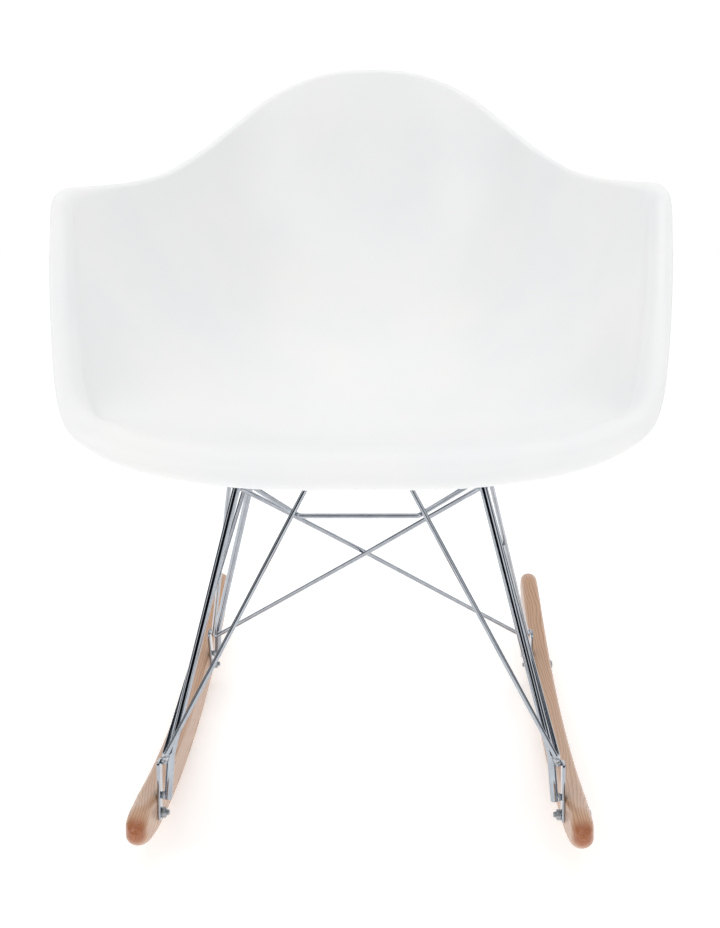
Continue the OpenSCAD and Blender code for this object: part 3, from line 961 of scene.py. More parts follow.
def plate_skin(outline: np.ndarray, hole: float, thickness: float, edge: float, pose: Pose) -> Skin:
    """A flat plate with one round hole and eased edges.

    Round the plate runs the outline's angle; across it runs a closed section, from the hole's wall out
    over one face, round the eased outer edge and back over the other face. A place on a face is
    hole + (outline - hole) t along the same angle.

    Args:
        outline: X, Y of the outer edge, round the hole's middle.
        hole: the hole's radius.
        thickness: the plate's thickness.
        edge: how far its outer edges are eased.
        pose: where it stands. Local Z is 0 on its lower face.

    Returns:
        The skin.
    """
    inner = unit(outline) * hole
    ease_in = unit(outline) * 0.3 * edge
    inset = unit(np.roll(outline, -1, 0) - np.roll(outline, 1, 0)) @ np.array([[0.0, 1.0], [-1.0, 0.0]])
    inset = inset * np.sign(np.sum(inset * outline, -1, keepdims=True)) * edge
    angles = np.linspace(0, math.pi / 2, 5)
    rows = [(inner, 0.3 * edge), (inner + ease_in, 0.0)]
    for t in (0.25, 0.5, 0.75):
        rows.append((inner + (outline - inset - inner) * t, 0.0))
    rows += [(outline - inset * (1 - math.sin(a)), edge * (1 - math.cos(a))) for a in angles]
    rows += [(outline - inset * (1 - math.cos(a)), thickness - edge * (1 - math.sin(a))) for a in angles]
    for t in (0.75, 0.5, 0.25):
        rows.append((inner + (outline - inset - inner) * t, thickness))
    rows += [(inner + ease_in, thickness), (inner, thickness - 0.3 * edge)]
    local = np.stack([np.column_stack([xy, np.full(len(xy), z)]) for xy, z in rows])
    return tube_skin(pose.place(local.reshape(-1, 3)).reshape(local.shape), loop=True)


def strap_outline(width: float, reach: float, corner: float, steps: int = 14) -> np.ndarray:
    """The outline of a strap: a half circle round the hole at one end, square with eased corners at the other.

    Args:
        width: the strap's width.
        reach: distance from the hole's middle to the square end, along +X.
        corner: rounding of the square end's corners.
        steps: points in each arc.

    Returns:
        Rows of X and Y, evenly turned round the hole.
    """
    half = width / 2
    a = np.linspace(math.pi / 2, 3 * math.pi / 2, 2 * steps)
    end = np.stack([half * np.cos(a), half * np.sin(a)], -1)
    straight = np.linspace(0.08, 0.92, 12)[:, None]
    low = np.array([[0.0, -half]]) + straight * np.array([[reach - corner, 0.0]])
    c = np.linspace(-math.pi / 2, 0, steps // 2)
    low_corner = np.stack([reach - corner + corner * np.cos(c), -half + corner + corner * np.sin(c)], -1)
    rise = np.linspace(-half + corner, half - corner, 8)[1:-1]
    square = np.stack([np.full(len(rise), reach), rise], -1)
    return np.concatenate([end, low, low_corner, square, low_corner[::-1] * [1, -1], low[::-1] * [1, -1]])


# ---- Seat -----------------------------------------------------------------------------------------

# The right half of the rim, from the middle of the front lip round to the middle of the back. Columns:
# across, as a share of the half width; along, as a share of the depth; arm rise; back rise; edge radius,
# from the back's to the lip's; fullness of the wall; way the edge rolls, from across the front to level.
RIM = np.array([
    [0.000, 0.000, 0.000, 0.000, 1.00, 0.84, 0.0],
    [0.324, 0.002, 0.005, 0.000, 1.00, 0.84, 0.0],
    [0.616, 0.015, 0.042, 0.000, 0.96, 0.84, 0.0],
    [0.830, 0.041, 0.120, 0.000, 0.87, 0.84, 0.0],
    [0.940, 0.086, 0.236, 0.000, 0.80, 0.84, 0.0],
    [0.983, 0.157, 0.476, 0.000, 0.73, 0.84, 0.0],
    [0.996, 0.196, 0.645, 0.000, 0.66, 0.87, 0.0],
    [1.000, 0.240, 0.900, 0.000, 0.56, 0.97, 0.1],
    [0.990, 0.276, 1.000, 0.000, 0.38, 1.23, 0.6],
    [0.960, 0.375, 1.000, 0.000, 0.20, 1.52, 1.0],
    [0.911, 0.496, 0.980, 0.000, 0.08, 1.69, 1.0],
    [0.850, 0.606, 0.972, 0.000, 0.04, 1.75, 1.0],
    [0.781, 0.699, 0.982, 0.000, 0.00, 1.82, 1.0],
    [0.712, 0.775, 1.000, 0.050, 0.00, 1.95, 1.0],
    [0.623, 0.851, 1.000, 0.225, 0.00, 2.07, 1.0],
    [0.524, 0.905, 1.000, 0.450, 0.00, 2.20, 1.0],
    [0.389, 0.956, 1.000, 0.730, 0.00, 2.27, 1.0],
    [0.207, 0.990, 1.000, 0.940, 0.00, 2.30, 1.0],
    [0.000, 1.000, 1.000, 1.000, 0.00, 2.30, 1.0],
])


@dataclass
class SeatShell:
    """The moulded tub seat: one smooth sheet with a rolled edge, and four bosses."""

    # The width and the back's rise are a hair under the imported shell's, whose flats cut inside the true
    # curve, so that this finer one stays within its box.
    width: float = 616.9 * MM
    length: float = 591 * MM
    lip_y: float = 263 * MM
    lip_z: float = 382 * MM
    arm_rise: float = 263 * MM
    back_rise: float = 105.5 * MM
    wall: float = 4.5 * MM
    lip_r: float = 31 * MM
    rim_r: float = 8 * MM
    back_lean: float = 0.22
    pan_y: float = 25 * MM
    pan_rise: float = 2 * MM
    boss_d: float = 28 * MM
    modes: int = 24
    around: int = 288
    seat_steps: int = 56
    roll_steps: int = 14
    edge_steps: int = 8
    smoothing: int = 12

    def rim_at(self, place: np.ndarray) -> np.ndarray:
        """The rim's columns at places round it, by a Catmull-Rom curve through the rows.

        The value is b + t/2 ((c - a) + t ((2a - 5b + 4c - d) + t (3 (b - c) + d - a))) between rows b and c.
        """
        half = len(RIM) - 1
        i = np.floor(place).astype(int)
        t = (place - i)[:, None]

        def row(k: np.ndarray) -> np.ndarray:
            """Rows by number, mirrored for the left half."""
            k = k % (2 * half)
            values = RIM[np.where(k <= half, k, 2 * half - k)].copy()
            values[:, 0] *= np.where(k <= half, 1, -1)
            return values

        a, b, c, d = (row(i + k) for k in (-1, 0, 1, 2))
        return b + 0.5 * t * ((c - a) + t * ((2 * a - 5 * b + 4 * c - d) + t * (3 * (b - c) + d - a)))

    def edge_at(self, q: np.ndarray) -> np.ndarray:
        """The rim's outer edge for rows of the rim's columns."""
        return np.stack([
            q[:, 0] * self.width / 2,
            -self.lip_y + q[:, 1] * self.length,
            self.lip_z + q[:, 2] * self.arm_rise + q[:, 3] * self.back_rise,
        ], -1)

    def series(self, values: np.ndarray, odd: bool) -> np.ndarray:
        """The cosine or sine series of values spaced evenly round the rim.

        A mode's share is twice the mean of value times wave, or the mean itself for mode 0.
        """
        m = np.arange(self.modes + 1)
        turn = np.arange(len(values)) / len(values) * 2 * math.pi
        wave = np.sin(np.outer(m, turn)) if odd else np.cos(np.outer(m, turn))
        return np.where(m == 0, 1, 2) / len(values) * (wave @ values)

    def build_series(self) -> None:
        """Works out the series of the edge, the crest of the roll, and the seat's arrival there."""
        count = 8 * (len(RIM) - 1)
        place = np.arange(count) / count * 2 * (len(RIM) - 1)
        q = self.rim_at(place)
        edge = self.edge_at(q)
        run = unit(self.edge_at(self.rim_at(place + 0.35)) - self.edge_at(self.rim_at(place - 0.35)))
        zero = np.zeros(count)
        across = np.stack([run[:, 2], zero, -run[:, 0]], -1)
        level = np.stack([run[:, 1], -run[:, 0], -self.back_lean * np.abs(run[:, 0])], -1)
        up = unit(np.cross(mix(across, level, q[:, 6:7]), run))
        radius = self.rim_r + (self.lip_r - self.rim_r) * q[:, 4]
        crest = edge - radius[:, None] * (up + np.cross(run, up))
        arrive = q[:, 5:6] * self.width / 2 * up
        self.edge_s = [self.series(edge[:, c], c == 0) for c in range(3)]
        self.crest_s = [self.series(crest[:, c], c == 0) for c in range(3)]
        self.arrive_s = [self.series(arrive[:, c], c == 0) for c in range(3)]
        self.roll_s = self.series(radius, False)
        m = np.arange(self.modes + 1)
        self.bow_s = [(m * self.crest_s[c] - self.arrive_s[c]) / 2 for c in range(3)]
        pan = vec(0, self.pan_y, self.lip_z + self.pan_rise)
        middle = np.array([self.crest_s[c][0] + self.bow_s[c][0] for c in range(3)])
        self.pan_shift = (pan - middle) * vec(0, 1, 1)

    def sum_at(self, parts: list[np.ndarray], turn: np.ndarray) -> np.ndarray:
        """Three series summed at angles: sines across the shell, cosines along and up."""
        m = np.arange(self.modes + 1)
        sines, cosines = np.sin(np.outer(turn, m)), np.cos(np.outer(turn, m))
        return np.stack([sines @ parts[0], cosines @ parts[1], cosines @ parts[2]], -1)

    def upper_face(self) -> np.ndarray:
        """The seat's upper face, as rings from just outside the pan to the outer edge.

        Inside the crest, mode m of a ring a share t of the way out is
        t^m (crest + (1 - t^2) bow) + (1 - t^2)^2 shift, the smooth sheet that meets the crest in the
        arrival's direction. Outside it the wall runs straight on to the roll, a quarter circle of radius
        r: r (sin(a) up + (1 - cos(a)) out) from where the straight ends.
        """
        turn = np.arange(self.around) / self.around * 2 * math.pi
        m = np.arange(self.modes + 1)
        rings = []
        for t in np.linspace(0, 1, self.seat_steps + 1)[1:]:
            parts = [
                t**m * (
                    self.crest_s[c] + (1 - t * t) * self.bow_s[c]
                ) + (m == 0) * (1 - t * t) ** 2 * self.pan_shift[c]
                for c in range(3)
            ]
            rings.append(self.sum_at(parts, turn))
        crest = rings[-1]
        up = unit(self.sum_at(self.arrive_s, turn))
        rise = (np.cos(np.outer(turn, m)) @ self.roll_s)[:, None]
        reach = self.sum_at(self.edge_s, turn) - crest - rise * up
        # The wall's rounded end takes the last half thickness, so the roll is that much smaller.
        length = np.linalg.norm(reach, axis=1, keepdims=True)
        radius, out = length - self.wall / 2, reach / length
        rings.append(crest + (rise - radius) * up * 0.5)
        for a in np.linspace(0, math.pi / 2, self.roll_steps + 1):
            rings.append(
                crest + (rise - radius + radius * math.sin(a)) * up + radius * (1 - math.cos(a)) * out
            )
        self.up, self.out = up, out
        return np.stack(rings)

    def skin(self) -> Skin:
        """The whole shell: upper face, rounded end of the wall, and lower face one thickness below.

        The lower face is the upper one moved by the wall's thickness against its normals. The end is the
        half circle middle + h (cos(a) up + sin(a) out), with h half the thickness.
        """
        upper = self.upper_face()
        pan = vec(0, self.pan_y, self.lip_z + self.pan_rise)
        first = np.broadcast_to(pan, upper[:1].shape)
        down = np.gradient(np.concatenate([first, upper]), axis=0)[1:]
        around = (np.roll(upper, -1, 1) - np.roll(upper, 1, 1)) / 2
        normal = unit(np.cross(down, around))
        normal *= np.sign(np.sum(normal[-2] * self.up))
        normal[-1] = self.up
        # Averaged with their neighbours, the normals keep the lower face smooth under the tight corners.
        for _ in range(self.smoothing):
            normal = (2 * normal + np.roll(normal, 1, 1) + np.roll(normal, -1, 1)) / 4
            seat = normal[1 : self.seat_steps - 1]
            seat[:] = (2 * seat + normal[: self.seat_steps - 2] + normal[2 : self.seat_steps]) / 4
            normal = unit(normal)
        normal[-1] = self.up
        lower = upper - self.wall * normal
        middle = upper[-1] - self.wall / 2 * self.up
        turn = np.linspace(0, math.pi, self.edge_steps + 1)[1:-1, None, None]
        end = middle + self.wall / 2 * (np.cos(turn) * self.up + np.sin(turn) * self.out)
        self.upper, self.lower, self.normal = upper, lower, normal
        rings = np.concatenate([upper, end, lower[::-1]])
        return tube_skin(rings, pan, pan - vec(0, 0, self.wall))

    def wall_height(self, xy: np.ndarray) -> np.ndarray:
        """Height of the middle of the wall over places, from the nearest point of a fine sample of it."""
        sheet = ((self.upper + self.lower) / 2)[: self.seat_steps].reshape(-1, 3)
        gap = np.sum((xy[:, None] - sheet[None, :, :2]) ** 2, -1)
        near = np.argpartition(gap, 4, axis=1)[:, :4]
        weight = 1 / (np.take_along_axis(gap, near, 1) + 1e-7)
        return np.sum(weight * sheet[near, 2], 1) / np.sum(weight, 1)

    def boss_skin(self, foot: np.ndarray) -> Skin:
        """A boss: a round post with a flared root that runs up into the wall.

        Its radius grows over the last 5 mm below the wall by 2.5 mm x (1 - h / 5 mm)^2.

        Args:
            foot: the middle of its flat foot.

        Returns:
            The skin.
        """
        sides, r, hole = 48, self.boss_d / 2, 5 * MM
        turn = np.arange(sides) / sides * 2 * math.pi
        circle = np.stack([np.cos(turn), np.sin(turn)], -1)
        rings = []
        for radius, h in (
            (hole, 9 * MM),
            (hole, 0.4 * MM),
            (hole + 0.4 * MM, 0.0),
            (r - 0.8 * MM, 0.0),
            (r - 0.25 * MM, 0.2 * MM),
            (r, 0.8 * MM),
        ):
            xy = foot[:2] + circle * radius
            rings.append(np.column_stack([xy, np.full(sides, foot[2] + h)]))
        for below in np.array([5.0, 4.0, 3.0, 2.0, 1.0, 0.0]) * MM:
            radius = r + 2.5 * MM * (1 - below / (5 * MM)) ** 2
            xy = foot[:2] + circle * radius
            top = self.wall_height(xy) - self.wall * 0.3
            rings.append(np.column_stack([xy, np.maximum(top - below, foot[2] + 1.5 * MM)]))
        stack = np.stack(rings)
        roof = vec(foot[0], foot[1], float(self.wall_height(foot[None, :2])[0]))
        return tube_skin(stack, vec(foot[0], foot[1], foot[2] + 9 * MM), roof)

    def build(self, finishes: Finishes, mounts: list[np.ndarray]) -> None:
        """Builds the shell and its bosses.

        Args:
            finishes: the chair's materials.
            mounts: the bosses' feet, all four.
        """
        self.build_series()
        shell = self.skin()
        make_piece("seat_shell_moulding", [shell], finishes.shell, ("seat_shell",))
        make_piece("seat_bosses", [self.boss_skin(foot) for foot in mounts], finishes.shell)


# ---- Base -----------------------------------------------------------------------------------------


@dataclass
class WireBase:
    """The welded wire base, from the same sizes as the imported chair's solids."""

    runner_gap: float = 428 * MM
    runner_w: float = 22 * MM
    runner_h: float = 40 * MM
    rocker_r: float = 1400 * MM
    leg_d: float = 8 * MM
    brace_d: float = 5 * MM
    front_foot_y: float = 272 * MM
    rear_foot_y: float = 133 * MM
    front_rail_z: float = 384 * MM
    rear_rail_z: float = 362 * MM
    rail_gap: float = 234 * MM
    front_mount_y: float = 183 * MM
    rear_mount_y: float = 20 * MM
    leg_bend_r: float = 20 * MM
    foot_bend_r: float = 14 * MM
    vee_r: float = 4 * MM
    arch_r: float = 9 * MM
    spreader_l: float = 116 * MM
    spreader_drop: float = 39 * MM
    arch_l: float = 96 * MM
    plate_t: float = 3 * MM
    plate_w: float = 16 * MM
    foot_rise: float = 60 * MM
    foot_lift: float = 13 * MM
    bolt_d: float = 6 * MM
    tab_t: float = 3 * MM
    tab_w: float = 26 * MM
    tab_reach: float = 17 * MM
    ring_t: float = 4 * MM
    screw_d: float = 6 * MM
    weld_gap: float = 0.1 * MM
    slot_gap: float = 1.7 * MM
    # The crossing arms slope, so they pass further apart in Y than square to each other.
    cross_spread: float = 1.47

    def floor_z(self, y: float) -> float:
        """Height of the runner's underside: R - sqrt(R^2 - y^2)."""
        return self.rocker_r - math.sqrt(self.rocker_r**2 - y * y)

    def __post_init__(self) -> None:
        """Works out the right side's points."""
        leg_r, touch = self.leg_d / 2, self.leg_d / 2 + self.brace_d / 2 + self.weld_gap
        self.touch = touch
        self.inner_x = self.runner_gap / 2 - self.runner_w / 2
        self.plate_x = self.inner_x - self.plate_t
        foot_x = self.plate_x - self.slot_gap - leg_r
        self.front_bolt = vec(
            self.inner_x, -self.front_foot_y, self.floor_z(self.front_foot_y) + self.runner_h / 2,
        )
        self.rear_bolt = vec(
            self.inner_x, self.rear_foot_y, self.floor_z(self.rear_foot_y) + self.runner_h / 2,
        )
        self.front_bend = vec(
            foot_x - 5 * MM, self.front_bolt[1] + 11 * MM, self.front_bolt[2] + self.foot_rise,
        )
        self.rear_bend = vec(
            foot_x - 5 * MM, self.rear_bolt[1] - 22 * MM, self.rear_bolt[2] + self.foot_rise,
        )
        share = self.foot_lift / self.foot_rise
        self.front_end = mix(vec(foot_x, self.front_bolt[1], self.front_bolt[2]), self.front_bend, share)
        self.rear_end = mix(vec(foot_x, self.rear_bolt[1], self.rear_bolt[2]), self.rear_bend, share)
        self.front_top = vec(self.rail_gap / 2, -self.front_mount_y, self.front_rail_z)
        self.rear_top = vec(self.rail_gap / 2, self.rear_mount_y, self.rear_rail_z)
        # The rail rises forwards, so the rear tabs sit higher than its corner, clear of its slope.
        slope = (self.front_rail_z - self.rear_rail_z) / (self.front_mount_y + self.rear_mount_y)
        self.rear_mount = self.rear_top + vec(0, 0, max(0.0, slope) * self.tab_w / 2 + self.weld_gap)
        self.front_vee = self.front_bend + vec(touch + 2.1 * MM, -touch - 0.6 * MM, -7 * MM)
        self.rear_vee = self.rear_bend + vec(touch + 1.1 * MM, 1.5 * MM, -16 * MM)
        self.front_side_top = self.on_rear_leg(self.rear_rail_z - 11 * MM) + vec(
            touch / 4, -touch - 0.5 * MM, 0,
        )
        self.rear_side_top = self.on_front_leg(self.front_rail_z - 15 * MM) + vec(touch + 2 * MM, 0, 0)
        self.arch_end = vec(self.arch_l / 2, -self.front_mount_y - 40 * MM, self.front_rail_z - 6 * MM)
        self.spreader_end = vec(
            self.spreader_l / 2, -self.front_mount_y - 43 * MM, self.front_rail_z - self.spreader_drop,
        )
        self.spreader_top = self.on_front_leg(self.front_rail_z - 16 * MM) + vec(
            -touch - 0.5 * MM, -1 * MM, 0,
        )
        self.cross_top = self.on_front_leg(self.front_rail_z - 24 * MM) + vec(-3 * MM, touch + 1 * MM, 0)

    def on_front_leg(self, z: float) -> np.ndarray:
        """A place on the right front leg's centre line, by height."""
        return mix(
            self.front_bend,
            self.front_top,
            (z - self.front_bend[2]) / (self.front_top[2] - self.front_bend[2]),
        )

    def on_rear_leg(self, z: float) -> np.ndarray:
        """A place on the right rear leg's centre line, by height."""
        return mix(
            self.rear_bend, self.rear_top, (z - self.rear_bend[2]) / (self.rear_top[2] - self.rear_bend[2]),
        )

    def mounts(self) -> list[np.ndarray]:
        """The feet of the seat's four bosses."""
        rise = self.leg_d / 2 + self.tab_t + self.ring_t
        right = [top + vec(-self.tab_reach, 0, rise) for top in (self.front_top, self.rear_mount)]
        return right + [flip(p) for p in right]

    def leg_wire(self) -> Skin:
        """The right leg wire: front foot, front leg, top rail, rear leg and rear foot, bent from one rod."""
        corners = [
            self.front_end, self.front_bend, self.front_top, self.rear_top, self.rear_bend, self.rear_end,
        ]
        bends = [self.foot_bend_r, self.leg_bend_r, self.leg_bend_r, self.foot_bend_r]
        return wire_skin(bent_path(corners, bends), self.leg_d / 2, vec(1, 0, 0), sides=28)

    def front_brace(self) -> Skin:
        """The front brace wire: side arm, foot, inner arm, arch bar, and the same on the left."""
        right = [self.front_side_top, self.front_vee, self.arch_end]
        corners = right + [flip(p) for p in right[::-1]]
        bends = [self.vee_r, self.arch_r, self.arch_r, self.vee_r]
        return wire_skin(bent_path(corners, bends, 0.0006), self.brace_d / 2, unit(vec(0.02, 1, -0.45)))

    def rear_brace(self, side: Side) -> Skin:
        """A rear brace wire: side arm, foot, and the long arm that crosses to the other side.

        Args:
            side: the side of its foot. The right one passes in front where the two cross.
        """
        far = flip(self.cross_top)
        start = mix(self.rear_vee, far, 0.05)
        share = self.rear_vee[0] / (self.rear_vee[0] + self.cross_top[0])
        shift = self.cross_spread * (self.brace_d + self.weld_gap) / 2 * (1 if side is Side.RIGHT else -1)
        middle = mix(self.rear_vee, far, share) + vec(0, shift, 0)
        corners = [self.rear_side_top, self.rear_vee, start, middle, far]
        path = bent_path(corners, [self.vee_r, 60 * MM, 60 * MM], 0.0006)
        skin = wire_skin(path, self.brace_d / 2, unit(vec(0.25, 1, 0.3)))
        return skin if side is Side.RIGHT else skin.flipped()

    def spreader(self) -> Skin:
        """The spreader wire: from one front leg's top down to a level bar and up to the other's."""
        corners = [self.spreader_top, self.spreader_end, flip(self.spreader_end), flip(self.spreader_top)]
        return wire_skin(
            bent_path(corners, [self.arch_r, self.arch_r], 0.0008), self.brace_d / 2, vec(0, 1, 0),
        )

    def foot_plate(self, bolt: np.ndarray, bend: np.ndarray) -> Skin:
        """A foot plate against the right runner's inner face.

        Args:
            bolt: the middle of its bolt at the runner's face.
            bend: the leg's first bend, which it points to.
        """
        lean = unit(vec(0, bend[1] - bolt[1], bend[2] - bolt[2]))
        outline = strap_outline(self.plate_w, self.foot_rise - 6 * MM, 2.5 * MM)
        return plate_skin(
            outline,
            self.bolt_d / 2 + 0.25 * MM,
            self.plate_t,
            0.5 * MM,
            Pose(vec(self.plate_x, bolt[1], bolt[2]), vec(1, 0, 0), lean),
        )

    def mount_tab(self, top: np.ndarray) -> Skin:
        """A mount tab that lies on the right top rail and reaches in under a boss.

        Args:
            top: the rail's corner at that mount.
        """
        outline = strap_outline(self.tab_w, self.tab_reach + self.leg_d / 2, 1.5 * MM)
        origin = top + vec(-self.tab_reach, 0, self.leg_d / 2)
        return plate_skin(
            outline,
            self.screw_d / 2 + 0.25 * MM,
            self.tab_t,
            0.5 * MM,
            Pose(origin, vec(0, 0, 1), vec(1, 0, 0)),
        )

    def foot_welds(self) -> list[Skin]:
        """The beads that bridge the slot between each leg's foot and its plate, near both ends."""
        beads = []
        for low, high in ((self.front_end, self.front_bend), (self.rear_end, self.rear_bend)):
            for t in (0.1, 0.84):
                here = mix(low, high, t)
                middle = vec((here[0] + self.plate_x) / 2 + 1.2 * MM, here[1], here[2])
                width = self.plate_x - here[0] - 1.0 * MM
                beads.append(weld_skin(middle, high - low, 8.5 * MM, width, 2.5))
        return beads + [b.flipped() for b in beads]

    def joint_welds(self) -> list[Skin]:
        """The small beads where the braces, the spreader and the tabs meet the legs and rails."""
        beads = []
        leg_up = unit(self.front_top - self.front_bend)
        rear_up = unit(self.rear_top - self.rear_bend)
        d = self.brace_d
        spreader_leg = self.on_front_leg(self.front_rail_z - 16 * MM)
        cross_leg = self.on_front_leg(self.front_rail_z - 24 * MM)
        # Middle, run, length and width of each bead.
        spots = [
            (mix(self.front_bend, self.front_vee, 0.52) + vec(0, 0, 1.5 * MM), leg_up, 10 * MM, d + 1.6 * MM),
            (mix(self.rear_bend, self.rear_vee, 0.55) + vec(0, 1 * MM, 1 * MM), rear_up, 11 * MM, d + 1.4 * MM),
            (self.front_side_top + vec(-0.4 * MM, d / 2 + 0.4 * MM, -3 * MM), rear_up, 11 * MM, d),
            (self.rear_side_top + vec(-d / 2 - 1.2 * MM, 2 * MM, -3 * MM), leg_up, 11 * MM, d),
            (mix(spreader_leg, self.spreader_top, 0.6) + vec(0, 0, -1 * MM), leg_up, 8 * MM, d - 0.4 * MM),
            (mix(cross_leg, self.cross_top, 0.6), leg_up, 8 * MM, d - 0.4 * MM),
        ]
        beads += [weld_skin(*spot) for spot in spots]
        rail = unit(self.rear_top - self.front_top)
        for top in (self.front_top, self.rear_mount):
            for s in (-1, 1):
                corner = vec(-self.leg_d / 2 + 0.4 * MM, s * self.tab_w / 3.2, self.leg_d / 2 - 0.4 * MM)
                beads.append(weld_skin(top + corner, rail, 9 * MM, 3.4 * MM))
        return beads + [b.flipped() for b in beads]

    def build(self, finishes: Finishes) -> None:
        """Builds every wire, plate, tab and weld.

        Args:
            finishes: the chair's materials.
        """
        leg = self.leg_wire()
        for side in Side:
            word = side.word
            skin = leg if side is Side.RIGHT else leg.flipped()
            make_piece(
                f"leg_wire_{word}",
                [skin],
                finishes.wire,
                (f"front_leg_{word}", f"top_rail_{word}", f"rear_leg_{word}"),
            )
            make_piece(
                f"rear_brace_wire_{word}",
                [self.rear_brace(side)],
                finishes.wire,
                (f"rear_side_brace_{word}", f"rear_cross_brace_{word}"),
            )
            for end, bolt, bend, top in (
                ("front", self.front_bolt, self.front_bend, self.front_top),
                ("rear", self.rear_bolt, self.rear_bend, self.rear_mount),
            ):
                plate, tab = self.foot_plate(bolt, bend), self.mount_tab(top)
                if side is Side.LEFT:
                    plate, tab = plate.flipped(), tab.flipped()
                for kind, skin in (("foot_plate", plate), ("mount_tab", tab)):
                    name, node = f"{kind}_pressed_{end}_{word}", f"{kind}_{end}_{word}"
                    make_piece(name, [skin], finishes.wire, (node,), crisp=40)
        names = [f"front_{part}_brace_{side.word}" for part in ("side", "inner") for side in Side]
        make_piece(
            "front_brace_wire", [self.front_brace()], finishes.wire, (*names, "front_arch_bar"),
        )
        make_piece(
            "spreader_wire",
            [self.spreader()],
            finishes.wire,
            ("spreader_bar", "spreader_arm_left", "spreader_arm_right"),
        )
        make_piece("foot_weld_beads", self.foot_welds(), finishes.weld, ("foot_welds",))
        make_piece("joint_weld_beads", self.joint_welds(), finishes.weld)


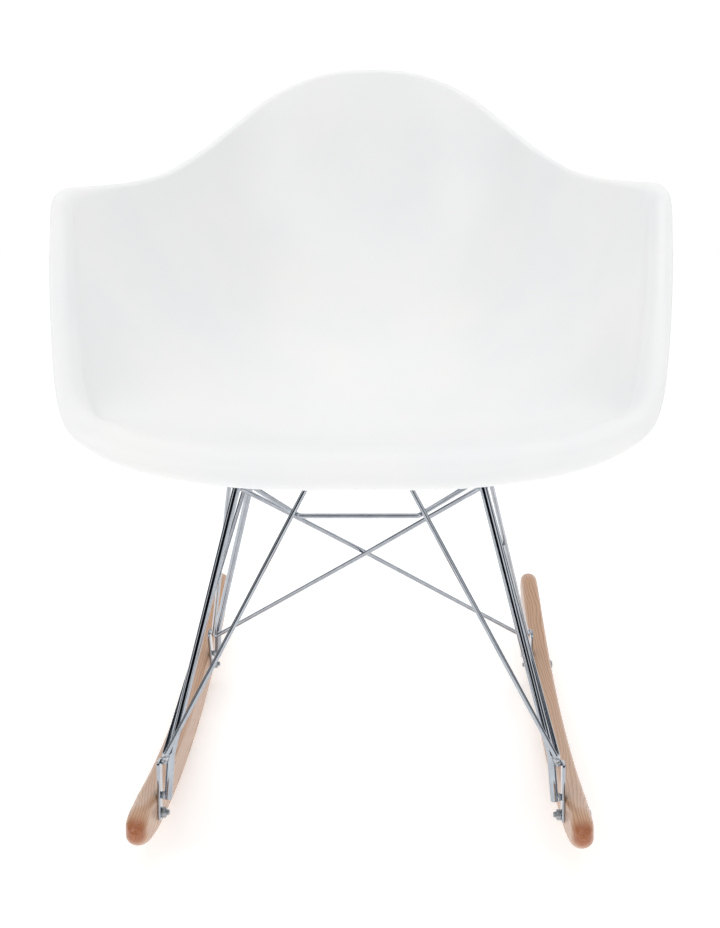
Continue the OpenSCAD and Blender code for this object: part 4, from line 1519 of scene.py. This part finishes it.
@dataclass
class Fasteners:
    """The bolts, washers and nuts at the runners, and the screws and rubber rings under the seat."""

    base: WireBase
    washer_d: float = 16 * MM
    washer_t: float = 1.5 * MM
    nut_af: float = 10 * MM
    nut_h: float = 5 * MM
    ring_d: float = 26 * MM
    pitch: float = 1.0 * MM

    def threaded(self, radius: float, low: float, high: float, pose: Pose) -> Skin:
        """A threaded end: its radius is r - 0.3 mm x |2 f - 1|, with f the fraction of height / pitch + angle.

        Args:
            radius: the crest's radius.
            low: where the thread starts, along the axis.
            high: where it ends.
            pose: the axis.

        Returns:
            The skin.
        """
        sides = 36
        z = np.linspace(low, high, max(8, int((high - low) / self.pitch * 8)))[:, None]
        turn = (np.arange(sides) / sides * 2 * math.pi)[None, :]
        f = np.mod(z / self.pitch + turn / (2 * math.pi), 1.0)
        r = radius - 0.3 * MM * np.abs(2 * f - 1)
        r = r - 0.7 * MM * np.clip(1 - (high - z) / (0.8 * MM), 0, 1)
        local = np.stack([r * np.cos(turn), r * np.sin(turn), np.broadcast_to(z, r.shape)], -1)
        rings = pose.place(local.reshape(-1, 3)).reshape(local.shape)
        return tube_skin(rings, pose.place(vec(0, 0, low)), pose.place(vec(0, 0, high)))

    def shank(self, radius: float, length: float, pose: Pose) -> Skin:
        """A plain round shank, from its seat along the pose's axis."""
        profile = np.array([(0.0, 0.0), (radius, 0.0), (radius, length), (0.0, length)])
        return revolved(profile, pose, 36)

    def button_head(self, radius: float, height: float, socket: float, pose: Pose) -> Skin:
        """A low domed head with a hexagon socket.

        Its dome is z = h sqrt(1 - (r / R)^2 x 0.9); the socket is a hexagon with a drilled, coned floor.

        Args:
            radius: the head's radius.
            height: its height.
            socket: half the distance across the socket's flats.
            pose: local Z points out of the head, from its underside.

        Returns:
            The skin.
        """
        r = np.linspace(socket * 1.25, radius, 12)
        dome = np.stack([r, height * np.sqrt(1 - (r / radius) ** 2 * 0.92)], -1)
        depth = height * 0.35
        top = dome[0, 1]
        rows = [
            (0.0, depth - 0.3 * MM),
            (socket * 0.9, depth),
            (socket, depth + 0.05 * MM),
            (socket, top - 0.25 * MM),
            (socket + 0.25 * MM, top),
        ]
        hexed = [0, 1, 1, 1, 1] + [0] * len(dome) + [0, 0, 0]
        under = [(radius * 0.985, 0.15 * MM), (radius * 0.93, 0.0), (0.0, 0.0)]
        return revolved(np.array(rows + dome.tolist() + under), pose, 72, np.array(hexed))

    def nut(self, pose: Pose) -> Skin:
        """A hexagon nut with coned corners on both faces.

        Args:
            pose: local Z runs from its seat outwards.
        """
        half = self.nut_af / 2
        cone = half * 0.97
        hole = self.base.bolt_d / 2 - 0.1 * MM
        h = self.nut_h
        rows = [
            (hole, 0.3 * MM),
            (hole + 0.4 * MM, 0.0),
            (cone, 0.0),
            (half, 0.55 * MM),
            (half, h / 2),
            (half, h - 0.55 * MM),
            (cone, h),
            (hole + 0.6 * MM, h),
            (hole, h - 0.5 * MM),
        ]
        return revolved(np.array(rows), pose, 72, np.array([0, 0, 0, 1, 1, 1, 0, 0, 0]), loop=True)

    def washer(self, pose: Pose) -> Skin:
        """A stamped washer with one rolled and one sharp edge.

        Args:
            pose: local Z points away from the runner.
        """
        r, t, hole = self.washer_d / 2, self.washer_t, self.base.bolt_d / 2 + 0.25 * MM
        rows = [
            (hole, 0.1 * MM),
            (hole + 0.1 * MM, 0.0),
            (r - 0.15 * MM, 0.0),
            (r, 0.15 * MM),
            (r, t - 0.5 * MM),
            (r - 0.15 * MM, t - 0.15 * MM),
            (r - 0.5 * MM, t),
            (hole + 0.2 * MM, t),
            (hole, t - 0.2 * MM),
        ]
        return revolved(np.array(rows), pose, 64, loop=True)

    def build(self, finishes: Finishes) -> None:
        """Builds every fastener.

        Args:
            finishes: the chair's materials.
        """
        base = self.base
        bolts, washers, nuts = [], [], []
        for bolt in (base.front_bolt, base.rear_bolt):
            out, inward = vec(1, 0, 0), vec(-1, 0, 0)
            face = bolt + vec(base.runner_w, 0, 0)
            r = base.bolt_d / 2
            head = Pose(face + vec(self.washer_t, 0, 0), out, vec(0, 1, 0.2))
            shank = Pose(head.origin, inward, vec(0, 0, 1))
            end = Pose(bolt - vec(base.plate_t, 0, 0), inward, vec(0, 0, 1))
            right = [
                self.button_head(base.bolt_d, base.bolt_d * 0.6, base.bolt_d * 0.33, head),
                self.shank(r, base.runner_w + self.washer_t + base.plate_t, shank),
                self.threaded(r, 0.0, self.nut_h + 3 * MM, end),
            ]
            bolts += right + [s.flipped() for s in right]
            washer = self.washer(Pose(face, out, vec(0, 0, 1)))
            nut = self.nut(Pose(bolt - vec(base.plate_t, 0, 0), inward, vec(0, 0.3, 1)))
            washers += [washer, washer.flipped()]
            nuts += [nut, nut.flipped()]
        for name, skins, node in (
            ("runner_bolts_button_head", bolts, "runner_bolts"),
            ("runner_washers_stamped", washers, "runner_washers"),
            ("runner_nuts_hexagon", nuts, "runner_nuts"),
        ):
            make_piece(name, skins, finishes.zinc, (node,), crisp=35)
        self.build_under_seat(finishes)

    def build_under_seat(self, finishes: Finishes) -> None:
        """Builds the screws and the rubber rings under the seat.

        Args:
            finishes: the chair's materials.
        """
        base = self.base
        screws, rings = [], []
        r = base.screw_d / 2
        up = vec(0, 0, 1)
        for foot in base.mounts():
            grip = base.ring_t + base.tab_t
            under = foot - vec(0, 0, grip)
            head = Pose(under, -up, vec(1, 0.3, 0))
            screws += [
                self.button_head(base.screw_d, base.screw_d * 0.55, base.screw_d * 0.33, head),
                self.shank(r, grip + 7 * MM, Pose(under, up, vec(1, 0, 0))),
            ]
            ro, ri, t, e = self.ring_d / 2, r + 0.25 * MM, base.ring_t, 0.9 * MM
            rows = rounded_profile(
                [
                    (ri, t / 2, 0),
                    (ri, 0.0, 0.3 * MM),
                    (ro, 0.0, e),
                    (ro, t, e),
                    (ri, t, 0.3 * MM),
                    (ri, t / 2 + 0.01 * MM, 0),
                ]
            )
            rings.append(revolved(rows, Pose(foot - vec(0, 0, t), up, vec(1, 0, 0)), 64, loop=True))
        name = "seat_screws_button_head"
        make_piece(name, screws, finishes.zinc, ("seat_screws",), crisp=35)
        make_piece("rubber_rings_moulded", rings, finishes.rubber, ("rubber_rings",))


@dataclass
class Runner:
    """A bent wooden runner: a rounded bar along an arc, with domed tips."""

    base: WireBase
    length: float = 690 * MM
    edge_r: float = 6 * MM
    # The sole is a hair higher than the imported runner's, whose flats cut inside the true curve.
    sole_wear: float = 0.1 * MM
    tip_gap: float = 1 * MM
    tip_zone: float = 45 * MM
    girth: float = 110 * MM
    flat_share: float = 0.28
    around: int = 96
    tip_steps: int = 40
    length_steps: int = 130

    def middle_r(self) -> float:
        """Radius of the arc through the middle of the runner's height."""
        return self.base.rocker_r - self.base.runner_h / 2

    def tip_angle(self) -> float:
        """Angle from the middle of the runner to a tip, which stands a hair inside the runner's length."""
        return math.asin((self.length / 2 - self.tip_gap) / self.middle_r())

    def sections(self) -> tuple[np.ndarray, np.ndarray, np.ndarray]:
        """Half widths, heights above and below the centre arc, and corner radii along the runner.

        With d the distance from a tip, a dome is sqrt(1 - (1 - d / D)^2), D being 18 mm in plan, 36 mm
        over the top and 46 mm under the sole, and the corner radius grows to the half width there.

        Returns:
            Angles along the arc, rows of (half width, above, below, corner), and distances from a tip.
        """
        tip = self.tip_angle()
        reach = self.middle_r() * tip
        # The sections stand closest together at the tips.
        near = self.tip_zone * (1 - np.cos(np.linspace(0, math.pi / 2, self.tip_steps)))[1:]
        between = np.linspace(self.tip_zone, 2 * reach - self.tip_zone, self.length_steps)[1:-1]
        s = np.concatenate([near, between, 2 * reach - near[::-1]])
        d = np.minimum(s, 2 * reach - s)

        def dome(size: float, power: float = 2.0) -> np.ndarray:
            """The dome's share of the full size: (1 - (1 - d / D)^p)^(1/p)."""
            return (1 - (1 - np.clip(d / size, 0, 1)) ** power) ** (1 / power)

        half_w = self.base.runner_w / 2 * dome(18 * MM, 2.0)
        above = self.base.runner_h / 2 * dome(36 * MM, 1.95)
        below = (self.base.runner_h / 2 - self.sole_wear) * dome(46 * MM, 2.05)
        corner = self.edge_r + (0.97 * half_w - self.edge_r) * ease((85 * MM - d) / (65 * MM))
        rows = np.stack([half_w, above, below, np.minimum(corner, half_w * 0.99)], -1)
        return s / reach * tip - tip, rows, d

    def skin(self) -> tuple[Skin, np.ndarray, np.ndarray]:
        """The right runner.

        A section is a rounded rectangle, drawn as the points of its four corner arcs and the spans between
        them, set out evenly by angle; a ring stands square to the arc at its angle.

        Returns:
            The skin, metres along and round for each point, and the end-grain share for each point.
        """
        angle, size, d = self.sections()
        m = self.around
        u = (np.arange(m) + 0.5) / m * 2 * math.pi
        quarter = np.floor(u / (math.pi / 2)).astype(int)
        sx = np.where((quarter == 0) | (quarter == 3), 1.0, -1.0)
        sz = np.where(quarter < 2, 1.0, -1.0)
        local = np.mod(u, math.pi / 2) / (math.pi / 2)
        swing = np.where(sx * sz > 0, local, 1 - local)
        # The first part of each quarter is the flat side, then the corner, then the flat top.
        flat = self.flat_share
        on_arc = np.clip((swing - flat) / (1 - 2 * flat), 0, 1) * math.pi / 2
        side_run = np.clip(swing / flat, 0, 1)
        top_run = np.clip((swing - 1 + flat) / flat, 0, 1)
        half_w, above, below, corner = (size[:, i : i + 1] for i in range(4))
        height = np.where(sz[None, :] > 0, above, below)
        r = np.minimum(corner, height * 0.99)
        x = (half_w - r) * (1 - top_run) + r * np.cos(on_arc)
        z = (height - r) * side_run + r * np.sin(on_arc)
        x, z = sx * x, sz * z
        mid_r = self.middle_r()
        a = angle[:, None]
        centre_x = self.base.runner_gap / 2
        radius = mid_r - z
        rings = np.stack([centre_x + x, radius * np.sin(a), self.base.rocker_r - radius * np.cos(a)], -1)
        tip = self.tip_angle()
        start = vec(centre_x, -mid_r * math.sin(tip), self.base.rocker_r - mid_r * math.cos(tip))
        skin = tube_skin(rings, start, start * vec(1, -1, 1))
        along = np.broadcast_to((angle * mid_r)[:, None], (len(angle), m))
        perimeter = np.broadcast_to(u / (2 * math.pi) * self.girth, along.shape)
        grain = np.concatenate(
            [np.stack([along, perimeter], -1).reshape(-1, 2), [[-tip * mid_r, 0.0], [tip * mid_r, 0.0]]]
        )
        ends = np.broadcast_to(ease((15 * MM - d) / (13 * MM))[:, None], along.shape).ravel()
        return skin, grain, np.concatenate([ends, [1.0, 1.0]])

    def build(self, finishes: Finishes) -> None:
        """Builds both runners, with their grain map and end-grain attribute.

        Args:
            finishes: the chair's materials.
        """
        skin, grain, ends = self.skin()
        for side in Side:
            word = side.word
            shape = skin if side is Side.RIGHT else skin.flipped()
            piece = make_piece(
                f"runner_bent_{word}", [shape], finishes.wood, (f"runner_{word}",),
            )
            mesh = piece.data
            corners = np.empty(len(mesh.loops), dtype=np.int32)
            mesh.loops.foreach_get("vertex_index", corners)
            shift = np.array([0.0 if side is Side.RIGHT else 1.37, 0.0])
            layer = mesh.uv_layers.new(name="grain")
            layer.data.foreach_set("uv", (grain[corners] + shift).astype(np.float32).ravel())
            attribute = mesh.attributes.new("end_grain", "FLOAT", "POINT")
            attribute.data.foreach_set("value", ends.astype(np.float32))


# ---- Studio ---------------------------------------------------------------------------------------


@dataclass
class Studio:
    """The white floor, the soft lights and the camera."""

    room_light: float = 0.66
    key_watts: float = 14.0
    top_watts: float = 20.0

    def floor(self, finishes: Finishes) -> None:
        """A flat sheet of white paper, 8 m across, just under the runners."""
        x, y = np.meshgrid(np.linspace(-4, 4, 17), np.linspace(-4, 4, 17))
        points = np.stack([x, y, np.full(x.shape, -0.0003)], -1).reshape(-1, 3)
        mesh = bpy.data.meshes.new("studio_paper")
        mesh.from_pydata(points.tolist(), [], grid_quads(17, 17, wrap_columns=False).tolist())
        mesh.materials.append(finishes.paper)
        sheet = bpy.data.objects.new("studio_paper", mesh)
        bpy.context.scene.collection.objects.link(sheet)

    def softbox(
        self,
        name: str,
        place: tuple[float, float, float],
        aim: tuple[float, float, float],
        size: tuple[float, float],
        watts: float,
    ) -> None:
        """Adds an area light.

        Args:
            name: its name.
            place: where it stands.
            aim: the point that it looks at.
            size: its width and height.
            watts: its power.
        """
        lamp = bpy.data.lights.new(name, "AREA")
        lamp.shape = "RECTANGLE"
        lamp.size, lamp.size_y = size
        lamp.energy = watts
        holder = bpy.data.objects.new(name, lamp)
        holder.location = place
        holder.rotation_euler = (Vector(aim) - Vector(place)).to_track_quat("-Z", "Y").to_euler()
        bpy.context.scene.collection.objects.link(holder)

    def surround(self) -> None:
        """The white room, and what bright metal sees of it: dark behind the lens, then bands.

        The bands run over (1 + y + 0.25 x) / 2 of a mirrored direction, from behind the lens to the backdrop.
        """
        world = bpy.data.worlds.new("studio_surround")
        bpy.context.scene.world = world
        world.use_nodes = True
        tree = world.node_tree
        tree.nodes.clear()
        ahead = add_node(
            tree,
            "ShaderNodeSeparateXYZ",
            links={0: add_node(tree, "ShaderNodeTexCoord").outputs["Generated"]},
        )
        lean = add_node(
            tree,
            "ShaderNodeMath",
            {"operation": "MULTIPLY_ADD"},
            {1: 0.25},
            {0: ahead.outputs["X"], 2: ahead.outputs["Y"]},
        )
        place = span(tree, lean.outputs[0], -1.0, 1.0, 0.0, 1.0)
        stops = [
            (0.0, "0A0D12"),
            (0.09, "12161D"),
            (0.12, "FFFFFF"),
            (0.24, "FFFFFF"),
            (0.28, "1A1F26"),
            (0.50, "2C323A"),
            (0.66, "6A7078"),
            (0.86, "FFFFFF"),
        ]
        bands = add_node(
            tree,
            "ShaderNodeBackground",
            values={"Strength": 1.0},
            links={"Color": colour_ramp(tree, place, stops)},
        )
        room = add_node(
            tree, "ShaderNodeBackground", values={"Color": linear("FFFFFF"), "Strength": self.room_light},
        )
        paper = add_node(tree, "ShaderNodeBackground", values={"Color": linear("FFFFFF"), "Strength": 1.1})
        ray = add_node(tree, "ShaderNodeLightPath")
        mirrored = add_node(
            tree,
            "ShaderNodeMixShader",
            links={0: ray.outputs["Is Glossy Ray"], 1: room.outputs[0], 2: bands.outputs[0]},
        )
        seen = add_node(
            tree,
            "ShaderNodeMixShader",
            links={0: ray.outputs["Is Camera Ray"], 1: mirrored.outputs[0], 2: paper.outputs[0]},
        )
        add_node(tree, "ShaderNodeOutputWorld", links={"Surface": seen.outputs[0]})

    def lights(self) -> None:
        """Soft boxes above, left and right of the chair."""
        self.softbox("key_left", (-2.0, -2.4, 2.2), (0, 0, 0.5), (1.6, 1.6), self.key_watts)
        self.softbox("fill_right", (2.4, -1.8, 1.8), (0, 0, 0.5), (1.6, 1.8), self.key_watts / 2)
        self.softbox("top", (0, 0.2, 3.0), (0, 0, 0.4), (2.6, 2.6), self.top_watts)

    def camera(self) -> None:
        """The camera: a standing viewer's height, straight in front and a little above."""
        yaw, pitch, roll = math.radians(2.0), math.radians(16.48), math.radians(-0.67)
        ahead = vec(-math.sin(yaw) * math.cos(pitch), math.cos(yaw) * math.cos(pitch), -math.sin(pitch))
        right = vec(math.cos(yaw), math.sin(yaw), 0)
        up = np.cross(right, ahead)
        right, up = math.cos(roll) * right + math.sin(roll) * up, math.cos(roll) * up - math.sin(roll) * right
        lens = bpy.data.cameras.new("camera")
        lens.sensor_fit = "VERTICAL"
        lens.sensor_height = 36.0
        lens.lens = 56.72
        lens.clip_start = 0.05
        eye = bpy.data.objects.new("camera", lens)
        turned = Matrix([[right[i], up[i], -ahead[i], 0] for i in range(3)] + [[0, 0, 0, 1]])
        eye.matrix_world = Matrix.Translation((0.049, -1.575, 0.797)) @ turned
        bpy.context.scene.collection.objects.link(eye)
        bpy.context.scene.camera = eye

    def build(self, finishes: Finishes) -> None:
        """Sets up floor, lights and camera.

        Args:
            finishes: the materials, for the paper.
        """
        self.floor(finishes)
        self.surround()
        self.lights()
        self.camera()
        bpy.context.scene.view_settings.view_transform = "Standard"


def dress_nodes(finishes: Finishes) -> None:
    """Gives the CAD nodes that stay their finishes.

    Args:
        finishes: the chair's materials.
    """
    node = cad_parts["shell_inserts"]
    node.data.materials.clear()
    node.data.materials.append(finishes.brass)


def main() -> None:
    """Builds the chair and its studio."""
    logging.basicConfig(level=logging.INFO, format="%(name)s %(message)s")
    finishes = Finishes()
    base = WireBase()
    SeatShell().build(finishes, base.mounts())
    base.build(finishes)
    Fasteners(base).build(finishes)
    Runner(base).build(finishes)
    dress_nodes(finishes)
    Studio().build(finishes)


if __name__ == "__main__":
    main()
